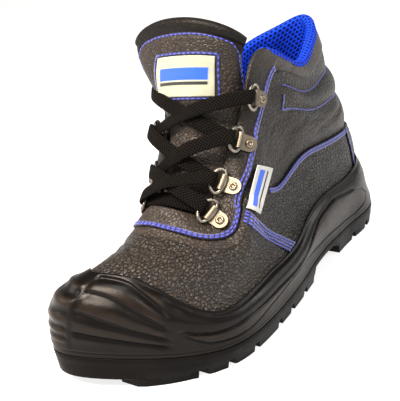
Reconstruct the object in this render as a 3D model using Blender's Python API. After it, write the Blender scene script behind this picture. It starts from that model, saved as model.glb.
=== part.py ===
"""Left ankle-high safety work shoe, built in metres.

The toe points along -Y, the outer (lateral) side is +X, up is +Z. The upper, the
sole and the insole are all worked out from one table of the last's sections.
"""
import math

import bmesh
import bpy
import numpy as np
from mathutils import Matrix

# Main sizes
LENGTH = 0.304
BALL_WIDTH = 0.1087
SHAFT_HEIGHT = 0.163
WALL = 0.0022
COLLAR_PAD = 0.0030
GAP = 0.0004
INSOLE_THICKNESS = 0.0035
GUARD_EDGE = 0.0020
LUG_TAPER = 0.0008
LACE_WIDTH = 0.0078
LACE_THICKNESS = 0.0014
WIRE = 0.0011
RING_WIDTH = 0.0150
RING_REACH = 0.0072
CLIP_WIDTH = 0.0100
CLIP_LENGTH = 0.0117
CLIP_THICKNESS = 0.0009
CLIP_LIFT = 0.0006
LACE_CLEAR = 0.0007
LACE_PAST = 0.0022
LACE_SWELL = (0.0055, 0.0070, 0.0100, 0.0130)

# One table unit is this share of its named size
SIDE = BALL_WIDTH / 104
ALONG = LENGTH / 291
UP = SHAFT_HEIGHT / 156

# Levels of the last, from the sole up
LEVELS = ("feather", "wall", "rim", "mid", "edge", "roll", "mouth")

# Sections of the last: place round the shoe (0 toe, 1 heel), then for each level
# outer side, inner side, along, up
LAST = (
    (0.00, (-18, -18, -123, 24), (-19, -19, -127, 42), (-8, -8, -110, 65), (-3, -3, -88, 69.5),
     (-2, -2, -67, 74.5), (-1.5, -1.5, -62, 79), (-1, -1, -58, 83)),
    (0.08, (0, -33, -117, 23), (3, -35, -120.5, 41), (9.5, -16, -105.5, 63.5), (11, -10, -86, 68),
     (7.5, -10, -66.5, 73.5), (6.5, -8.5, -61.5, 78.5), (5.5, -7, -57.5, 82.5)),
    (0.17, (25, -41.5, -101, 20), (29, -44.5, -103.5, 36), (27, -28, -96, 54), (23.5, -19, -80, 64.5),
     (18.5, -17.5, -64.5, 71), (14, -14.5, -59, 77), (11, -11.5, -55.5, 80.5)),
    (0.26, (43, -43, -81, 18), (46.5, -46, -82.5, 29), (45.5, -40, -81, 37), (38, -27.5, -73, 55.5),
     (29, -24.5, -58, 66.5), (22, -19.5, -53.5, 72.5), (17, -15.5, -50.5, 77)),
    (0.36, (48.5, -42, -54, 17), (52, -45, -55, 26.5), (50.5, -42, -54, 34), (46.5, -34, -50, 51),
     (39.5, -28.5, -42.5, 67), (30.5, -23.5, -42.5, 72.5), (21.5, -18.5, -43, 77)),
    (0.46, (46.5, -36, -23, 19), (50, -39, -24, 27), (47, -37, -23, 33.5), (45.5, -34.5, -26, 58),
     (41, -31, -30.5, 84), (33, -26, -31, 88.5), (24.5, -20.5, -30, 94.5)),
    (0.55, (42, -29, 6, 21), (45.5, -32, 6, 28), (43.5, -31, 7, 35), (42, -32.5, -1, 58),
     (39.5, -32, -8, 81.5), (36.5, -30.5, -15, 104), (28, -24.5, -16, 115)),
    (0.63, (38, -26.5, 29, 22), (41.5, -28.5, 29, 31), (39.5, -29, 30, 41.5), (38, -30.5, 24, 58),
     (37, -32, 12, 76), (36, -32, 1, 115), (31, -28.5, -6, 137)),
    (0.70, (35.5, -26, 51, 23), (39, -28, 51, 33), (37, -29, 51, 47), (36, -31, 47, 62),
     (35, -33, 39, 83), (35.5, -33.5, 30, 118), (33.5, -32, 11, 160)),
    (0.77, (33.5, -27.5, 73, 23), (36.5, -29.5, 73, 34), (35, -29, 73, 48), (34.5, -31, 71, 63),
     (33.5, -32, 66, 82.5), (33.5, -32.5, 60, 108), (30, -30, 49.5, 142)),
    (0.85, (31, -28.5, 97, 23), (34, -31, 98, 34), (33, -30.5, 99, 47), (32, -30.5, 98.5, 62),
     (31, -30, 96.5, 79.5), (29, -28.5, 93, 104.5), (22, -25, 81.5, 144.5)),
    (0.93, (22, -21, 125, 23), (25, -24, 128.5, 35), (24, -23, 129.5, 52), (23, -22, 128.5, 64),
     (21.5, -20.5, 125, 77), (19.5, -18.5, 118, 104), (11, -14, 106.5, 151.5)),
    (1.00, (0, 0, 136, 23), (0, 0, 141.5, 36), (0, 0, 143, 55), (0, 0, 142, 65),
     (0, 0, 139, 76), (0, 0, 129.5, 105), (0, 0, 116, 157)),
)

# Outline of the sole: place, outer side, inner side, along
OUTLINE = (
    (0.00, -22, -22, -135),
    (0.08, 3.5, -39, -127),
    (0.17, 31.5, -47, -108),
    (0.26, 51, -49.5, -82.5),
    (0.36, 56.5, -49.5, -54.5),
    (0.46, 54, -43.5, -23),
    (0.55, 49.5, -36.5, 6),
    (0.63, 45, -33, 29),
    (0.70, 42, -32, 51),
    (0.77, 39.5, -33.5, 73.5),
    (0.85, 37.5, -35, 99),
    (0.93, 31, -30.5, 136),
    (1.00, 0, 0, 156),
)

# Heights of the sole along its length: along, parting, base of tread, ground
PROFILE = (
    (-135, 22.5, 8.0, 1.8),
    (-118, 19.5, 5.8, 0.6),
    (-106, 17.0, 5.0, 0.1),
    (-94, 15.0, 4.8, 0.0),
    (-82, 13.5, 4.6, 0.0),
    (-54, 12.3, 4.6, 0.0),
    (-23, 12.3, 4.6, 0.0),
    (6, 13.0, 4.8, 0.0),
    (28.5, 14.5, 5.2, 0.0),
    (33, 14.8, 10.0, 0.0),
    (50, 16.0, 10.4, 0.0),
    (64, 15.6, 10.0, 0.0),
    (72, 15.2, 5.6, 0.0),
    (99, 14.4, 5.0, 0.0),
    (156, 14.4, 5.0, 0.0),
)

# Tread blocks: first and last place along the sole
BLOCKS = (
    (-120, -96),
    (-91.5, -80),
    (-76, -59),
    (-55, -30.5),
    (-26.5, -12),
    (-8, 10),
    (14, 28.5),
    (72, 96),
    (100, 117.5),
    (121.5, 139),
)
# Shares across the sole where the tread blocks start and end
ACROSS = (0.0, 0.23, 0.29, 0.71, 0.77, 1.0)

# Tongue: centre along and up, then outer edge side, along, up, inner edge side, along, up
TONGUE = (
    (-73, 67.5, 11, -69, 64, -11, -69, 64),
    (-60, 74.0, 17, -53, 68.5, -15.5, -53, 68.5),
    (-47, 83.5, 22.5, -35.5, 67.5, -18.5, -35.5, 67.5),
    (-36, 97.0, 26.5, -20, 85.5, -20.5, -20, 86),
    (-25.5, 118.0, 28, -5, 110, -20, -12.5, 112),
    (-19.5, 140.0, 26.5, 3, 133, -27, -13.5, 137),
    (-16, 163.0, 27.5, 1, 155, -38.5, -12, 157),
    (-12.5, 185.0, 34, 0.5, 169.5, -39.5, -10.5, 171),
)

# Facing's back edge: place round the shoe, level
FACING = (
    (0, 4.0),
    (0.42, 4.0),
    (0.46, 4.16),
    (0.54, 4.80),
    (0.61, 5.05),
    (0.65, 5.28),
    (0.70, 5.60),
    (0.74, 5.70),
    (1, 5.70),
)

# Rim of the toe and heel guards: place round the shoe, level
GUARD = (
    (0, 1.95),
    (0.10, 1.95),
    (0.18, 1.85),
    (0.22, 1.78),
    (0.30, 1.86),
    (0.46, 1.95),
    (0.57, 1.80),
    (0.64, 1.95),
    (1, 1.95),
)

# Lace loops from the toe up: place round the shoe, level of the rivet, ring's tilt in degrees
LOOPS = (
    (0.352, 4.98, 22),
    (0.464, 4.95, 18),
    (0.564, 5.28, 14),
    (0.652, 5.50, 4),
)

# Corners of the tongue's label: row, share; inner top, outer top, outer foot, inner foot
LABEL = (
    (5.97, -0.36),
    (6.08, 0.52),
    (5.02, 0.47),
    (4.92, -0.66),
)

# Corners of the side tag: place, level; front top, back top, back foot, front foot
TAG = (
    (0.548, 4.69),
    (0.617, 4.36),
    (0.466, 3.48),
    (0.431, 3.94),
)

# Bow of a lace ring: share of its reach, share of half its width
BOW = (
    (0, -0.80),
    (0, 0.80),
    (0.15, 0.97),
    (0.45, 1.0),
    (0.78, 0.76),
    (1, 0.30),
    (1, -0.30),
    (0.78, -0.76),
    (0.45, -1.0),
    (0.15, -0.97),
)


def smooth(low, high, value):
    """Soft step from 0 at low to 1 at high."""
    share = np.clip((value - low) / (high - low), 0, 1)
    return share * share * (3 - 2 * share)


def spline(knots, rows, where, closed=False):
    """Smooth cubic curve through rows at knots, read at where."""
    knots = np.asarray(knots, float)
    rows = np.asarray(rows, float)
    where = np.asarray(where, float)
    shape = rows.shape[1:]
    flat = rows.reshape(len(knots), -1)
    count = len(knots)
    step = np.diff(knots)
    slope = np.diff(flat, axis=0) / step[:, None]
    if closed:
        size = count - 1
        matrix = np.zeros((size, size))
        right = np.zeros((size, flat.shape[1]))
        for i in range(size):
            matrix[i, (i - 1) % size] += step[i - 1]
            matrix[i, i] += 2 * (step[i - 1] + step[i])
            matrix[i, (i + 1) % size] += step[i]
            right[i] = 6 * (slope[i] - slope[i - 1])
        bend = np.linalg.solve(matrix, right)
        bend = np.vstack([bend, bend[:1]])
        where = knots[0] + np.mod(where - knots[0], knots[-1] - knots[0])
    else:
        matrix = np.zeros((count, count))
        right = np.zeros((count, flat.shape[1]))
        matrix[0, 0] = 1
        matrix[-1, -1] = 1
        for i in range(1, count - 1):
            matrix[i, i - 1] = step[i - 1]
            matrix[i, i] = 2 * (step[i - 1] + step[i])
            matrix[i, i + 1] = step[i]
            right[i] = 6 * (slope[i] - slope[i - 1])
        bend = np.linalg.solve(matrix, right)
    cell = np.clip(np.searchsorted(knots, where, side="right") - 1, 0, count - 2)
    width = step[cell]
    a = ((knots[cell + 1] - where) / width)[..., None]
    b = ((where - knots[cell]) / width)[..., None]
    width = width[..., None]
    out = a * flat[cell] + b * flat[cell + 1]
    out = out + ((a ** 3 - a) * bend[cell] + (b ** 3 - b) * bend[cell + 1]) * width ** 2 / 6
    return out.reshape(where.shape + shape)


def closed_rows(table, entries):
    """Rows of a table all the way round, outer side first, then the inner side."""
    places = []
    rows = []
    for row in table:
        places.append(row[0])
        rows.append([(e[0], e[2], e[3]) for e in entries(row)])
    for row in reversed(table[:-1]):
        places.append(2 - row[0])
        rows.append([(e[1], e[2], e[3]) for e in entries(row)])
    return np.array(places), np.array(rows, float) * np.array([SIDE, ALONG, UP])


LAST_PLACES, LAST_ROWS = closed_rows(LAST, lambda row: row[1:])
LINE_PLACES, LINE_ROWS = closed_rows(OUTLINE, lambda row: [(row[1], row[2], row[3], 0)])


def last_point(place, level):
    """Point on the last's skin."""
    rows = spline(LAST_PLACES, LAST_ROWS, np.array([place]), True)[0]
    chord = np.concatenate([[0], np.cumsum(np.linalg.norm(np.diff(rows, axis=0), axis=1))])
    height = np.interp(level, np.arange(len(LEVELS)), chord)
    return spline(chord, rows, np.array([height]))[0]


def skin(place, level):
    """Point on the last's skin and its outward direction."""
    low = max(level - 0.02, 0.0)
    high = min(level + 0.02, 6.0)
    across = last_point(place + 0.004, level) - last_point(place - 0.004, level)
    rise = last_point(place, high) - last_point(place, low)
    out = np.cross(across, rise)
    return last_point(place, level), out / np.linalg.norm(out)


def facing_level(place):
    """Level of the facing's back edge."""
    side = min(place % 2, 2 - place % 2)
    table = np.array(FACING)
    return float(np.interp(side, table[:, 0], table[:, 1]))


def guard_level(place):
    """Level of the guard's rim."""
    side = min(place % 2, 2 - place % 2)
    table = np.array(GUARD)
    return float(np.interp(side, table[:, 0], table[:, 1]))


def quarter_level(place):
    """Level of the quarter's top edge."""
    side = min(place % 2, 2 - place % 2)
    return 3.7 + 0.3 * float(smooth(0.46, 0.56, side))


def relief(place, level):
    """Raised and padded parts of the upper, in metres."""
    side = min(place % 2, 2 - place % 2)
    out = 0.0
    if level > facing_level(place):
        out += 0.0013 * (1 - float(smooth(0.70, 0.74, side)))
    if level > quarter_level(place) and level < facing_level(place) and side > 0.5:
        out -= 0.0010 * float(smooth(0.53, 0.58, side))
    back = float(smooth(0.67, 0.73, side))
    pads = ((4.05, 5.0, 0.0028), (5.0, 5.4, 0.0032), (5.4, 6.25, 0.0034))
    for low, high, height in pads:
        if low < level < high:
            share = (level - low) / (high - low)
            out += back * height * math.sin(math.pi * share) ** 0.7
    strip = float(smooth(0.925, 0.945, side))
    if 2.0 < level < quarter_level(place):
        out += 0.0010 * strip
    return out


def heights(along):
    """Parting, tread base and ground heights in metres."""
    table = np.array(PROFILE)
    return [np.interp(along / ALONG, table[:, 0], table[:, k]) * UP for k in (1, 2, 3)]


def outline(place):
    """Outer line of the sole seen from above."""
    return spline(LINE_PLACES, LINE_ROWS, np.array([place]), True)[0][0][:2]


def place_at(along):
    """Place round the outer side where the sole's outline reaches a point along."""
    low = 0.0
    high = 1.0
    for _ in range(40):
        middle = (low + high) / 2
        if outline(middle)[1] < along:
            low = middle
        else:
            high = middle
    return (low + high) / 2


def sole_places():
    """Places of the columns shared by sole, upper and insole, and the block rows."""
    marks = [-135, -132.5, -127.5]
    spans = []
    for first, last in BLOCKS:
        rows = 3 if first < -110 else 2
        start = len(marks)
        marks.extend(np.linspace(first, last, rows + 1))
        spans.append((start, len(marks) - 1))
        if last == 28.5:
            marks.extend([33, 41, 50, 58, 65])
    marks.extend([146, 152, 156])
    places = [0.0] + [place_at(m * ALONG) for m in marks[1:-1]] + [1.0]
    return places, spans


PLACES, SPANS = sole_places()
RING = PLACES + [2 - p for p in reversed(PLACES[1:-1])]


def solid(name, verts, faces, colour, rough=0.6, metal=0.0):
    """Make one closed object with its own material."""
    mesh = bpy.data.meshes.new(name)
    mesh.from_pydata([tuple(float(c) for c in v) for v in verts], [], faces)
    work = bmesh.new()
    work.from_mesh(mesh)
    bmesh.ops.triangulate(work, faces=work.faces[:])
    bmesh.ops.recalc_face_normals(work, faces=work.faces[:])
    work.to_mesh(mesh)
    work.free()
    thing = bpy.data.objects.new(name, mesh)
    bpy.context.scene.collection.objects.link(thing)
    paint = bpy.data.materials.new(name + "_finish")
    paint.use_nodes = True
    shader = paint.node_tree.nodes["Principled BSDF"]
    shader.inputs["Base Color"].default_value = (*colour, 1)
    shader.inputs["Roughness"].default_value = rough
    shader.inputs["Metallic"].default_value = metal
    mesh.materials.append(paint)
    return thing


def bands(rings, closed=False):
    """Faces between rings of equal count."""
    count = len(rings[0])
    faces = []
    pairs = len(rings) if closed else len(rings) - 1
    for k in range(pairs):
        low = k * count
        high = ((k + 1) % len(rings)) * count
        for i in range(count):
            j = (i + 1) % count
            faces.append((low + i, low + j, high + j, high + i))
    return faces


def cap(start):
    """Faces across a ring of the shared columns."""
    count = len(RING)
    half = len(PLACES) - 1
    faces = []
    for i in range(half):
        a = start + i
        b = start + i + 1
        c = start + (count - i - 1) % count
        d = start + (count - i) % count
        face = []
        for v in (a, b, c, d):
            if v not in face:
                face.append(v)
        faces.append(tuple(face))
    return faces


def outer_levels(place):
    """Levels of the upper's outer rows."""
    top = quarter_level(place)
    face = facing_level(place)
    rim = guard_level(place)
    rows = [0, rim * 0.33, rim * 0.67, rim, 2.6, 3.2, top - 0.03, top + 0.03]
    for share in (0.22, 0.46, 0.66, 0.83):
        rows.append(top + 0.03 + share * (face - top - 0.06))
    rows += [face - 0.03, face + 0.03, (face + 6) / 2, 6.0]
    return rows


def wall_depth(place, level):
    """Thickness of the upper's wall."""
    side = min(place % 2, 2 - place % 2)
    return WALL + (COLLAR_PAD - WALL) * float(smooth(0.66, 0.74, side) * smooth(4.2, 5.0, level))


def build_upper():
    columns = [[] for _ in RING]
    for column, place in zip(columns, RING):
        for level in outer_levels(place):
            point, out = skin(place, level)
            lift = relief(place, min(level, 5.9)) if level > 2 else 0
            column.append(point + out * lift)
        for level in (6.0, 5.3, 4.3, 3.2, 2.0, 1.0, 0.0):
            point, out = skin(place, level)
            drop = wall_depth(place, level)
            if level == 6.0:
                column.append(point - out * drop * 0.85)
            else:
                column.append(point - out * drop)
    rings = list(zip(*columns))
    verts = [v for ring in rings for v in ring]
    return solid("upper", verts, bands(rings, True), (0.035, 0.032, 0.030), 0.55)


def guard_point(place, share):
    """Outer face of the midsole: share 0 at the guard's rim, 1 at the parting."""
    level = guard_level(place) * (1 - share)
    point, out = skin(place, level)
    base, _ = skin(place, 0.0)
    line = outline(place)
    parting = heights(line[1])[0] + GAP
    thick = GAP + GUARD_EDGE + 0.0022 * float(smooth(0, 0.35, share))
    spot = point + out * thick
    blend = float(smooth(0.15, 0.95, share))
    spot[0] += (line[0] - spot[0]) * blend
    spot[1] += (line[1] - spot[1]) * blend
    spot[2] = point[2] + out[2] * thick * (1 - share) - (base[2] - parting) * share ** 1.5
    return spot


def flutes(place, share):
    """Ribs of the toe guard and grooves of the sole's side, in metres."""
    side = min(place % 2, 2 - place % 2)
    wave = math.cos(share * 4 * 2 * math.pi)
    fade = float(smooth(0.02, 0.06, side) * (1 - smooth(0.17, 0.21, side)))
    out = 0.0011 * wave * fade * float(smooth(0.05, 0.15, share) * (1 - smooth(0.85, 0.95, share)))
    front = 1 - float(smooth(0.035, 0.06, side))
    out += front * (0.0009 + 0.0006 * wave) * float(1 - smooth(0.85, 0.95, share))
    long_groove = math.exp(-((share - 0.55) / 0.09) ** 2)
    out -= 0.0012 * long_groove * float(smooth(0.24, 0.30, side) * (1 - smooth(0.96, 1.0, side)))
    return out


def build_midsole():
    columns = [[] for _ in RING]
    shares = (0.03, 0.125, 0.25, 0.375, 0.5, 0.625, 0.75, 0.86, 0.95)
    for column, place in zip(columns, RING):
        foot, out = skin(place, 0.0)
        flat = np.array([out[0], out[1], 0])
        flat = flat / np.linalg.norm(flat)
        column.append(foot - flat * 0.0006 - np.array([0, 0, GAP]))
        column.append(foot + flat * GAP - np.array([0, 0, GAP]))
        rim = guard_level(place)
        for level in (rim * 0.33, rim * 0.67, rim):
            point, out = skin(place, level)
            column.append(point + out * GAP)
        column.append(point + out * (GAP + GUARD_EDGE * 0.8))
        for share in shares:
            _, out = skin(place, rim * (1 - share))
            column.append(guard_point(place, share) + out * flutes(place, share))
        line = outline(place)
        parting = heights(line[1])[0] + GAP
        inward = np.array([flat[0], flat[1], 0]) * 0.0010
        column.append(np.array([line[0], line[1], parting]) - inward)
    rings = list(zip(*columns))
    verts = [v for ring in rings for v in ring]
    faces = bands(rings) + cap(0) + cap((len(rings) - 1) * len(RING))
    return solid("midsole", verts, faces, (0.030, 0.030, 0.031), 0.5)


def build_outsole():
    count = len(RING)
    half = len(PLACES) - 1
    top = []
    upper_edge = []
    middle = []
    low = []
    for place in RING:
        line = outline(place)
        _, out = skin(place, 0.0)
        flat = out[:2] / np.linalg.norm(out[:2])
        part, base, ground = heights(line[1])
        top.append((*(line - flat * 0.0010), part))
        upper_edge.append((*(line + flat * 0.0002), part - 0.0016))
        middle.append((*(line - flat * 0.0002), (part + base) / 2))
        low.append((*(line - flat * 0.0012), base))
    rings = [top, upper_edge, middle, low]
    verts = [v for ring in rings for v in ring]
    faces = bands(rings) + cap(0)
    start = 3 * count
    grid = {}
    for i in range(half + 1):
        a = start + i
        b = start + (count - i) % count
        for j in range(len(ACROSS)):
            if a == b or j == len(ACROSS) - 1:
                grid[i, j] = a
            elif j == 0:
                grid[i, j] = b
            else:
                first = np.array(verts[b])
                last = np.array(verts[a])
                grid[i, j] = len(verts)
                verts.append(tuple(first + (last - first) * ACROSS[j]))
    blocked = set()
    for first, last in SPANS:
        for j in (0, 2, 4):
            lowered = {}
            for i in range(first, last + 1):
                for k in (j, j + 1):
                    x, y, z = verts[grid[i, k]]
                    y += LUG_TAPER * ((i == first) - (i == last))
                    other = verts[grid[i, j if k > j else j + 1]]
                    x += LUG_TAPER * (1 if other[0] > x else -1)
                    ground = heights(y)[2]
                    lowered[i, k] = len(verts)
                    verts.append((x, y, ground))
            for i in range(first, last):
                blocked.add((i, j))
                faces.append((lowered[i, j], lowered[i + 1, j], lowered[i + 1, j + 1], lowered[i, j + 1]))
                for k in (j, j + 1):
                    faces.append((grid[i, k], grid[i + 1, k], lowered[i + 1, k], lowered[i, k]))
            for i in (first, last):
                faces.append((grid[i, j], grid[i, j + 1], lowered[i, j + 1], lowered[i, j]))
    for i in range(half):
        for j in range(len(ACROSS) - 1):
            if (i, j) in blocked:
                continue
            face = []
            for v in (grid[i, j], grid[i + 1, j], grid[i + 1, j + 1], grid[i, j + 1]):
                if v not in face:
                    face.append(v)
            if len(face) > 2:
                faces.append(tuple(face))
    return solid("outsole", verts, faces, (0.020, 0.020, 0.021), 0.6)


def build_insole():
    low = []
    high = []
    for place in RING:
        foot, out = skin(place, 0.0)
        knee, lean = skin(place, 1.0)
        inner = foot - out * wall_depth(place, 0.0)
        above = knee - lean * wall_depth(place, 1.0)
        flat = np.array([out[0], out[1], 0])
        flat = flat / np.linalg.norm(flat)
        rise = INSOLE_THICKNESS / (above[2] - inner[2])
        low.append((*(inner - flat * 0.0010)[:2], foot[2]))
        spot = inner + (above - inner) * rise - flat * 0.0010
        high.append((spot[0], spot[1], foot[2] + INSOLE_THICKNESS))
    rings = [low, high]
    verts = [v for ring in rings for v in ring]
    return solid("insole", verts, bands(rings) + cap(0) + cap(len(RING)), (0.06, 0.06, 0.065), 0.9)


def tongue_point(row, share):
    """Middle surface of the tongue: row 0 at the vamp, share -1 inner to 1 outer."""
    knots = np.arange(len(TONGUE))
    data = spline(knots, np.array(TONGUE, float), np.array([row]))[0]
    centre = np.array([-1 * SIDE, data[0] * ALONG, data[1] * UP])
    edge = data[2:5] if share > 0 else data[5:8]
    edge = np.array([edge[0] * SIDE, edge[1] * ALONG, edge[2] * UP])
    turn = abs(share) * math.radians(78)
    scale = math.radians(78)
    reach = math.sin(turn) / math.sin(scale)
    drop = (1 - math.cos(turn)) / (1 - math.cos(scale))
    return np.array([
        centre[0] + (edge[0] - centre[0]) * reach,
        centre[1] + (edge[1] - centre[1]) * drop,
        centre[2] + (edge[2] - centre[2]) * drop,
    ])


def tongue_out(row, share):
    """Direction out of the tongue's front face."""
    last = len(TONGUE) - 1
    rise = tongue_point(min(row + 0.05, last), share) - tongue_point(max(row - 0.05, 0), share)
    over = tongue_point(row, min(share + 0.04, 1)) - tongue_point(row, max(share - 0.04, -1))
    out = np.cross(over, rise)
    return out / np.linalg.norm(out)


def tongue_depth(row, share):
    """Half the tongue's thickness."""
    pad = 0.0012 + 0.0014 * float(smooth(2.0, 5.0, row))
    return pad * (1 - 0.45 * abs(share) ** 3)


def build_tongue():
    rows = (0, 1, 2, 3, 4, 5, 5.7, 6.3, 6.8, 7.0)
    shares = (-1, -0.82, -0.6, -0.3, 0, 0.3, 0.6, 0.82, 1)
    rings = []
    for row in rows:
        ring = []
        for sign in (1, -1):
            for share in shares if sign > 0 else reversed(shares):
                spot = tongue_point(row, share)
                depth = tongue_depth(row, share) * (0.45 if row == 7.0 else 1)
                ring.append(spot + tongue_out(row, share) * depth * sign)
        rings.append(ring)
    verts = [v for ring in rings for v in ring]
    count = len(rings[0])
    faces = bands(rings)
    for start in (0, (len(rings) - 1) * count):
        for i in range(len(shares) - 1):
            faces.append((start + i, start + i + 1, start + count - 2 - i, start + count - 1 - i))
    return solid("tongue", verts, faces, (0.035, 0.032, 0.030), 0.5)


def build_patch():
    """Blank woven label on the tongue's front."""
    rows = 4
    across = 6
    inner_top, outer_top, outer_foot, inner_foot = np.array(LABEL)
    verts = []
    for lift in (0.0008, 0.0016):
        for up in np.linspace(0, 1, rows):
            left = inner_foot + (inner_top - inner_foot) * up
            right = outer_foot + (outer_top - outer_foot) * up
            for over in np.linspace(0, 1, across):
                row, share = left + (right - left) * over
                spot = tongue_point(row, share)
                verts.append(spot + tongue_out(row, share) * (tongue_depth(row, share) + lift))
    return solid("tongue_patch", verts, sheet_faces(rows, across), (0.80, 0.79, 0.70), 0.8)


def sheet_faces(rows, across):
    """Faces of a thin closed sheet made of two equal grids."""
    size = rows * across
    faces = []
    for r in range(rows - 1):
        for c in range(across - 1):
            a = r * across + c
            faces.append((a, a + 1, a + across + 1, a + across))
            faces.append((a + size, a + size + across, a + size + across + 1, a + size + 1))
    edge = [c for c in range(across)]
    edge += [r * across + across - 1 for r in range(1, rows)]
    edge += [(rows - 1) * across + c for c in range(across - 2, -1, -1)]
    edge += [r * across for r in range(rows - 2, 0, -1)]
    for i, a in enumerate(edge):
        b = edge[(i + 1) % len(edge)]
        faces.append((a, b, b + size, a + size))
    return faces


def below(target, lean, place, level):
    """Place and level of the leather that lies under a target, looking along lean."""
    for _ in range(8):
        spot, _ = skin(place, level)
        miss = target - spot
        miss = miss - lean * (miss @ lean)
        run = (last_point(place + 0.002, level) - spot) / 0.002
        rise = (last_point(place, level + 0.01) - spot) / 0.01
        run = run - lean * (run @ lean)
        rise = rise - lean * (rise @ lean)
        step = np.linalg.lstsq(np.column_stack([run, rise]), miss, rcond=None)[0]
        place += step[0]
        level += step[1]
    return place, level


def build_tag():
    """Blank woven tag sewn beside the facing, with straight edges seen from its front."""
    corners = [skin(place, level) for place, level in TAG]
    front_top, back_top, back_foot, front_foot = [corner[0] for corner in corners]
    lean = sum(corner[1] for corner in corners)
    lean = lean / np.linalg.norm(lean)
    verts = []
    for lift in (0.0015, 0.0023):
        for down in np.linspace(0, 1, 5):
            for over in np.linspace(0, 1, 4):
                left = front_top + (front_foot - front_top) * down
                right = back_top + (back_foot - back_top) * down
                ends = [np.array(TAG[0]) + (np.array(TAG[3]) - np.array(TAG[0])) * down]
                ends.append(np.array(TAG[1]) + (np.array(TAG[2]) - np.array(TAG[1])) * down)
                guess = ends[0] + (ends[1] - ends[0]) * over
                place, level = below(left + (right - left) * over, lean, guess[0], guess[1])
                point, out = skin(place, level)
                verts.append(point + out * lift)
    return solid("side_tag", verts, sheet_faces(5, 4), (0.82, 0.82, 0.80), 0.8)


def loop_frame(index, outer):
    """Seat of a lace loop: point, directions to the throat, sideways and out."""
    place, level, _ = LOOPS[index]
    if not outer:
        place = 2 - place
    point, out = skin(place, level)
    run = last_point(place + 0.01, 6.0) - last_point(place - 0.01, 6.0)
    ahead = np.cross(out, run)
    ahead = ahead / np.linalg.norm(ahead)
    aside = np.cross(out, ahead)
    rise = relief(place, level)
    for shift in (-0.06, -0.04, -0.02, 0, 0.02, 0.04, 0.06):
        for lower in (-0.7, -0.4, -0.2, 0, 0.2, 0.4, 0.6, 0.8, 1.0):
            high = min(level + lower, 6.0)
            spot, lean = skin(place + shift, high)
            spot = spot + lean * relief(place + shift, min(high, 5.9)) - point
            near = -CLIP_WIDTH / 2 - 0.001 < spot @ ahead < CLIP_LENGTH - CLIP_WIDTH / 2 + 0.003
            if near and abs(spot @ aside) < CLIP_WIDTH / 2 + 0.001:
                rise = max(rise, spot @ out)
    return point + out * rise, ahead, aside, out


def seat(frame, ahead, aside, out):
    """Point in a lace loop's own frame."""
    return frame[0] + frame[1] * ahead + frame[2] * aside + frame[3] * out


def wire_height():
    """Height of the ring's wire above the leather."""
    return CLIP_LIFT + CLIP_THICKNESS + GAP + WIRE


def build_clip(name, frame):
    half = CLIP_WIDTH / 2
    middle = CLIP_LIFT + CLIP_THICKNESS / 2
    stations = []
    for share in (-1.0, -0.86, -0.5, 0.0):
        stations.append((share * half, middle, 0, 1, half * math.sqrt(1.06 - share * share) * 0.97))
    stations.append((CLIP_LENGTH - half, middle, 0, 1, half))
    centre = (CLIP_LENGTH - half, wire_height())
    bend = WIRE + GAP + CLIP_THICKNESS / 2
    for turn in (35, 75, 115, 155, 195, 230):
        a = math.radians(turn)
        ahead = centre[0] + bend * math.sin(a)
        height = centre[1] - bend * math.cos(a)
        stations.append((ahead, height, -math.sin(a), math.cos(a), half))
    rings = []
    for ahead, height, lean, rise, width in stations:
        ring = []
        for across, up in ((1, 1), (-1, 1), (-1, -1), (1, -1)):
            grow = up * CLIP_THICKNESS / 2
            ring.append(seat(frame, ahead + lean * grow, across * width, height + rise * grow))
        rings.append(ring)
    verts = [v for ring in rings for v in ring]
    end = 4 * (len(rings) - 1)
    faces = bands(rings) + [(0, 1, 2, 3), (end, end + 1, end + 2, end + 3)]
    return solid(name, verts, faces, (0.55, 0.52, 0.46), 0.3, 1.0)


def build_rivet(name, frame):
    foot = CLIP_LIFT + CLIP_THICKNESS + GAP
    rings = []
    for radius, height in ((0.0026, 0), (0.0026, 0.0004), (0.0018, 0.0012)):
        rings.append([
            seat(frame, radius * math.cos(k * math.pi / 4), radius * math.sin(k * math.pi / 4), foot + height)
            for k in range(8)
        ])
    verts = [v for ring in rings for v in ring]
    faces = bands(rings) + [tuple(range(8)), tuple(range(16, 24))]
    return solid(name, verts, faces, (0.60, 0.57, 0.50), 0.25, 1.0)


def ring_path(frame, tilt):
    """Middle of the ring's wire."""
    start = CLIP_LENGTH - CLIP_WIDTH / 2
    points = []
    for reach, side in BOW:
        ahead = reach * RING_REACH
        points.append(seat(frame, start + ahead * math.cos(tilt), side * RING_WIDTH / 2,
                           wire_height() + ahead * math.sin(tilt)))
    return points


def build_ring(name, frame, tilt):
    points = ring_path(frame, tilt)
    axis = np.cross(points[1] - points[0], points[5] - points[0])
    axis = axis / np.linalg.norm(axis)
    rings = []
    for i, point in enumerate(points):
        run = points[(i + 1) % len(points)] - points[i - 1]
        aside = np.cross(run / np.linalg.norm(run), axis)
        rings.append([
            point + (aside * math.cos(k * math.tau / 5) + axis * math.sin(k * math.tau / 5)) * WIRE
            for k in range(5)
        ])
    verts = [v for ring in rings for v in ring]
    return solid(name, verts, bands(rings, True), (0.62, 0.60, 0.55), 0.25, 1.0)


def lace_end(index, outer, above, past=LACE_PAST):
    """Where a lace leaves a ring, over or under its wire, and the way out there."""
    frame = loop_frame(index, outer)
    tilt = math.radians(LOOPS[index][2])
    start = CLIP_LENGTH - CLIP_WIDTH / 2
    ahead = start + (RING_REACH + past) * math.cos(tilt)
    step = WIRE + LACE_CLEAR + LACE_THICKNESS / 2
    height = wire_height() + RING_REACH * math.sin(tilt) + (step if above else -step)
    return seat(frame, ahead, 0, height), frame[3]


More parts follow.
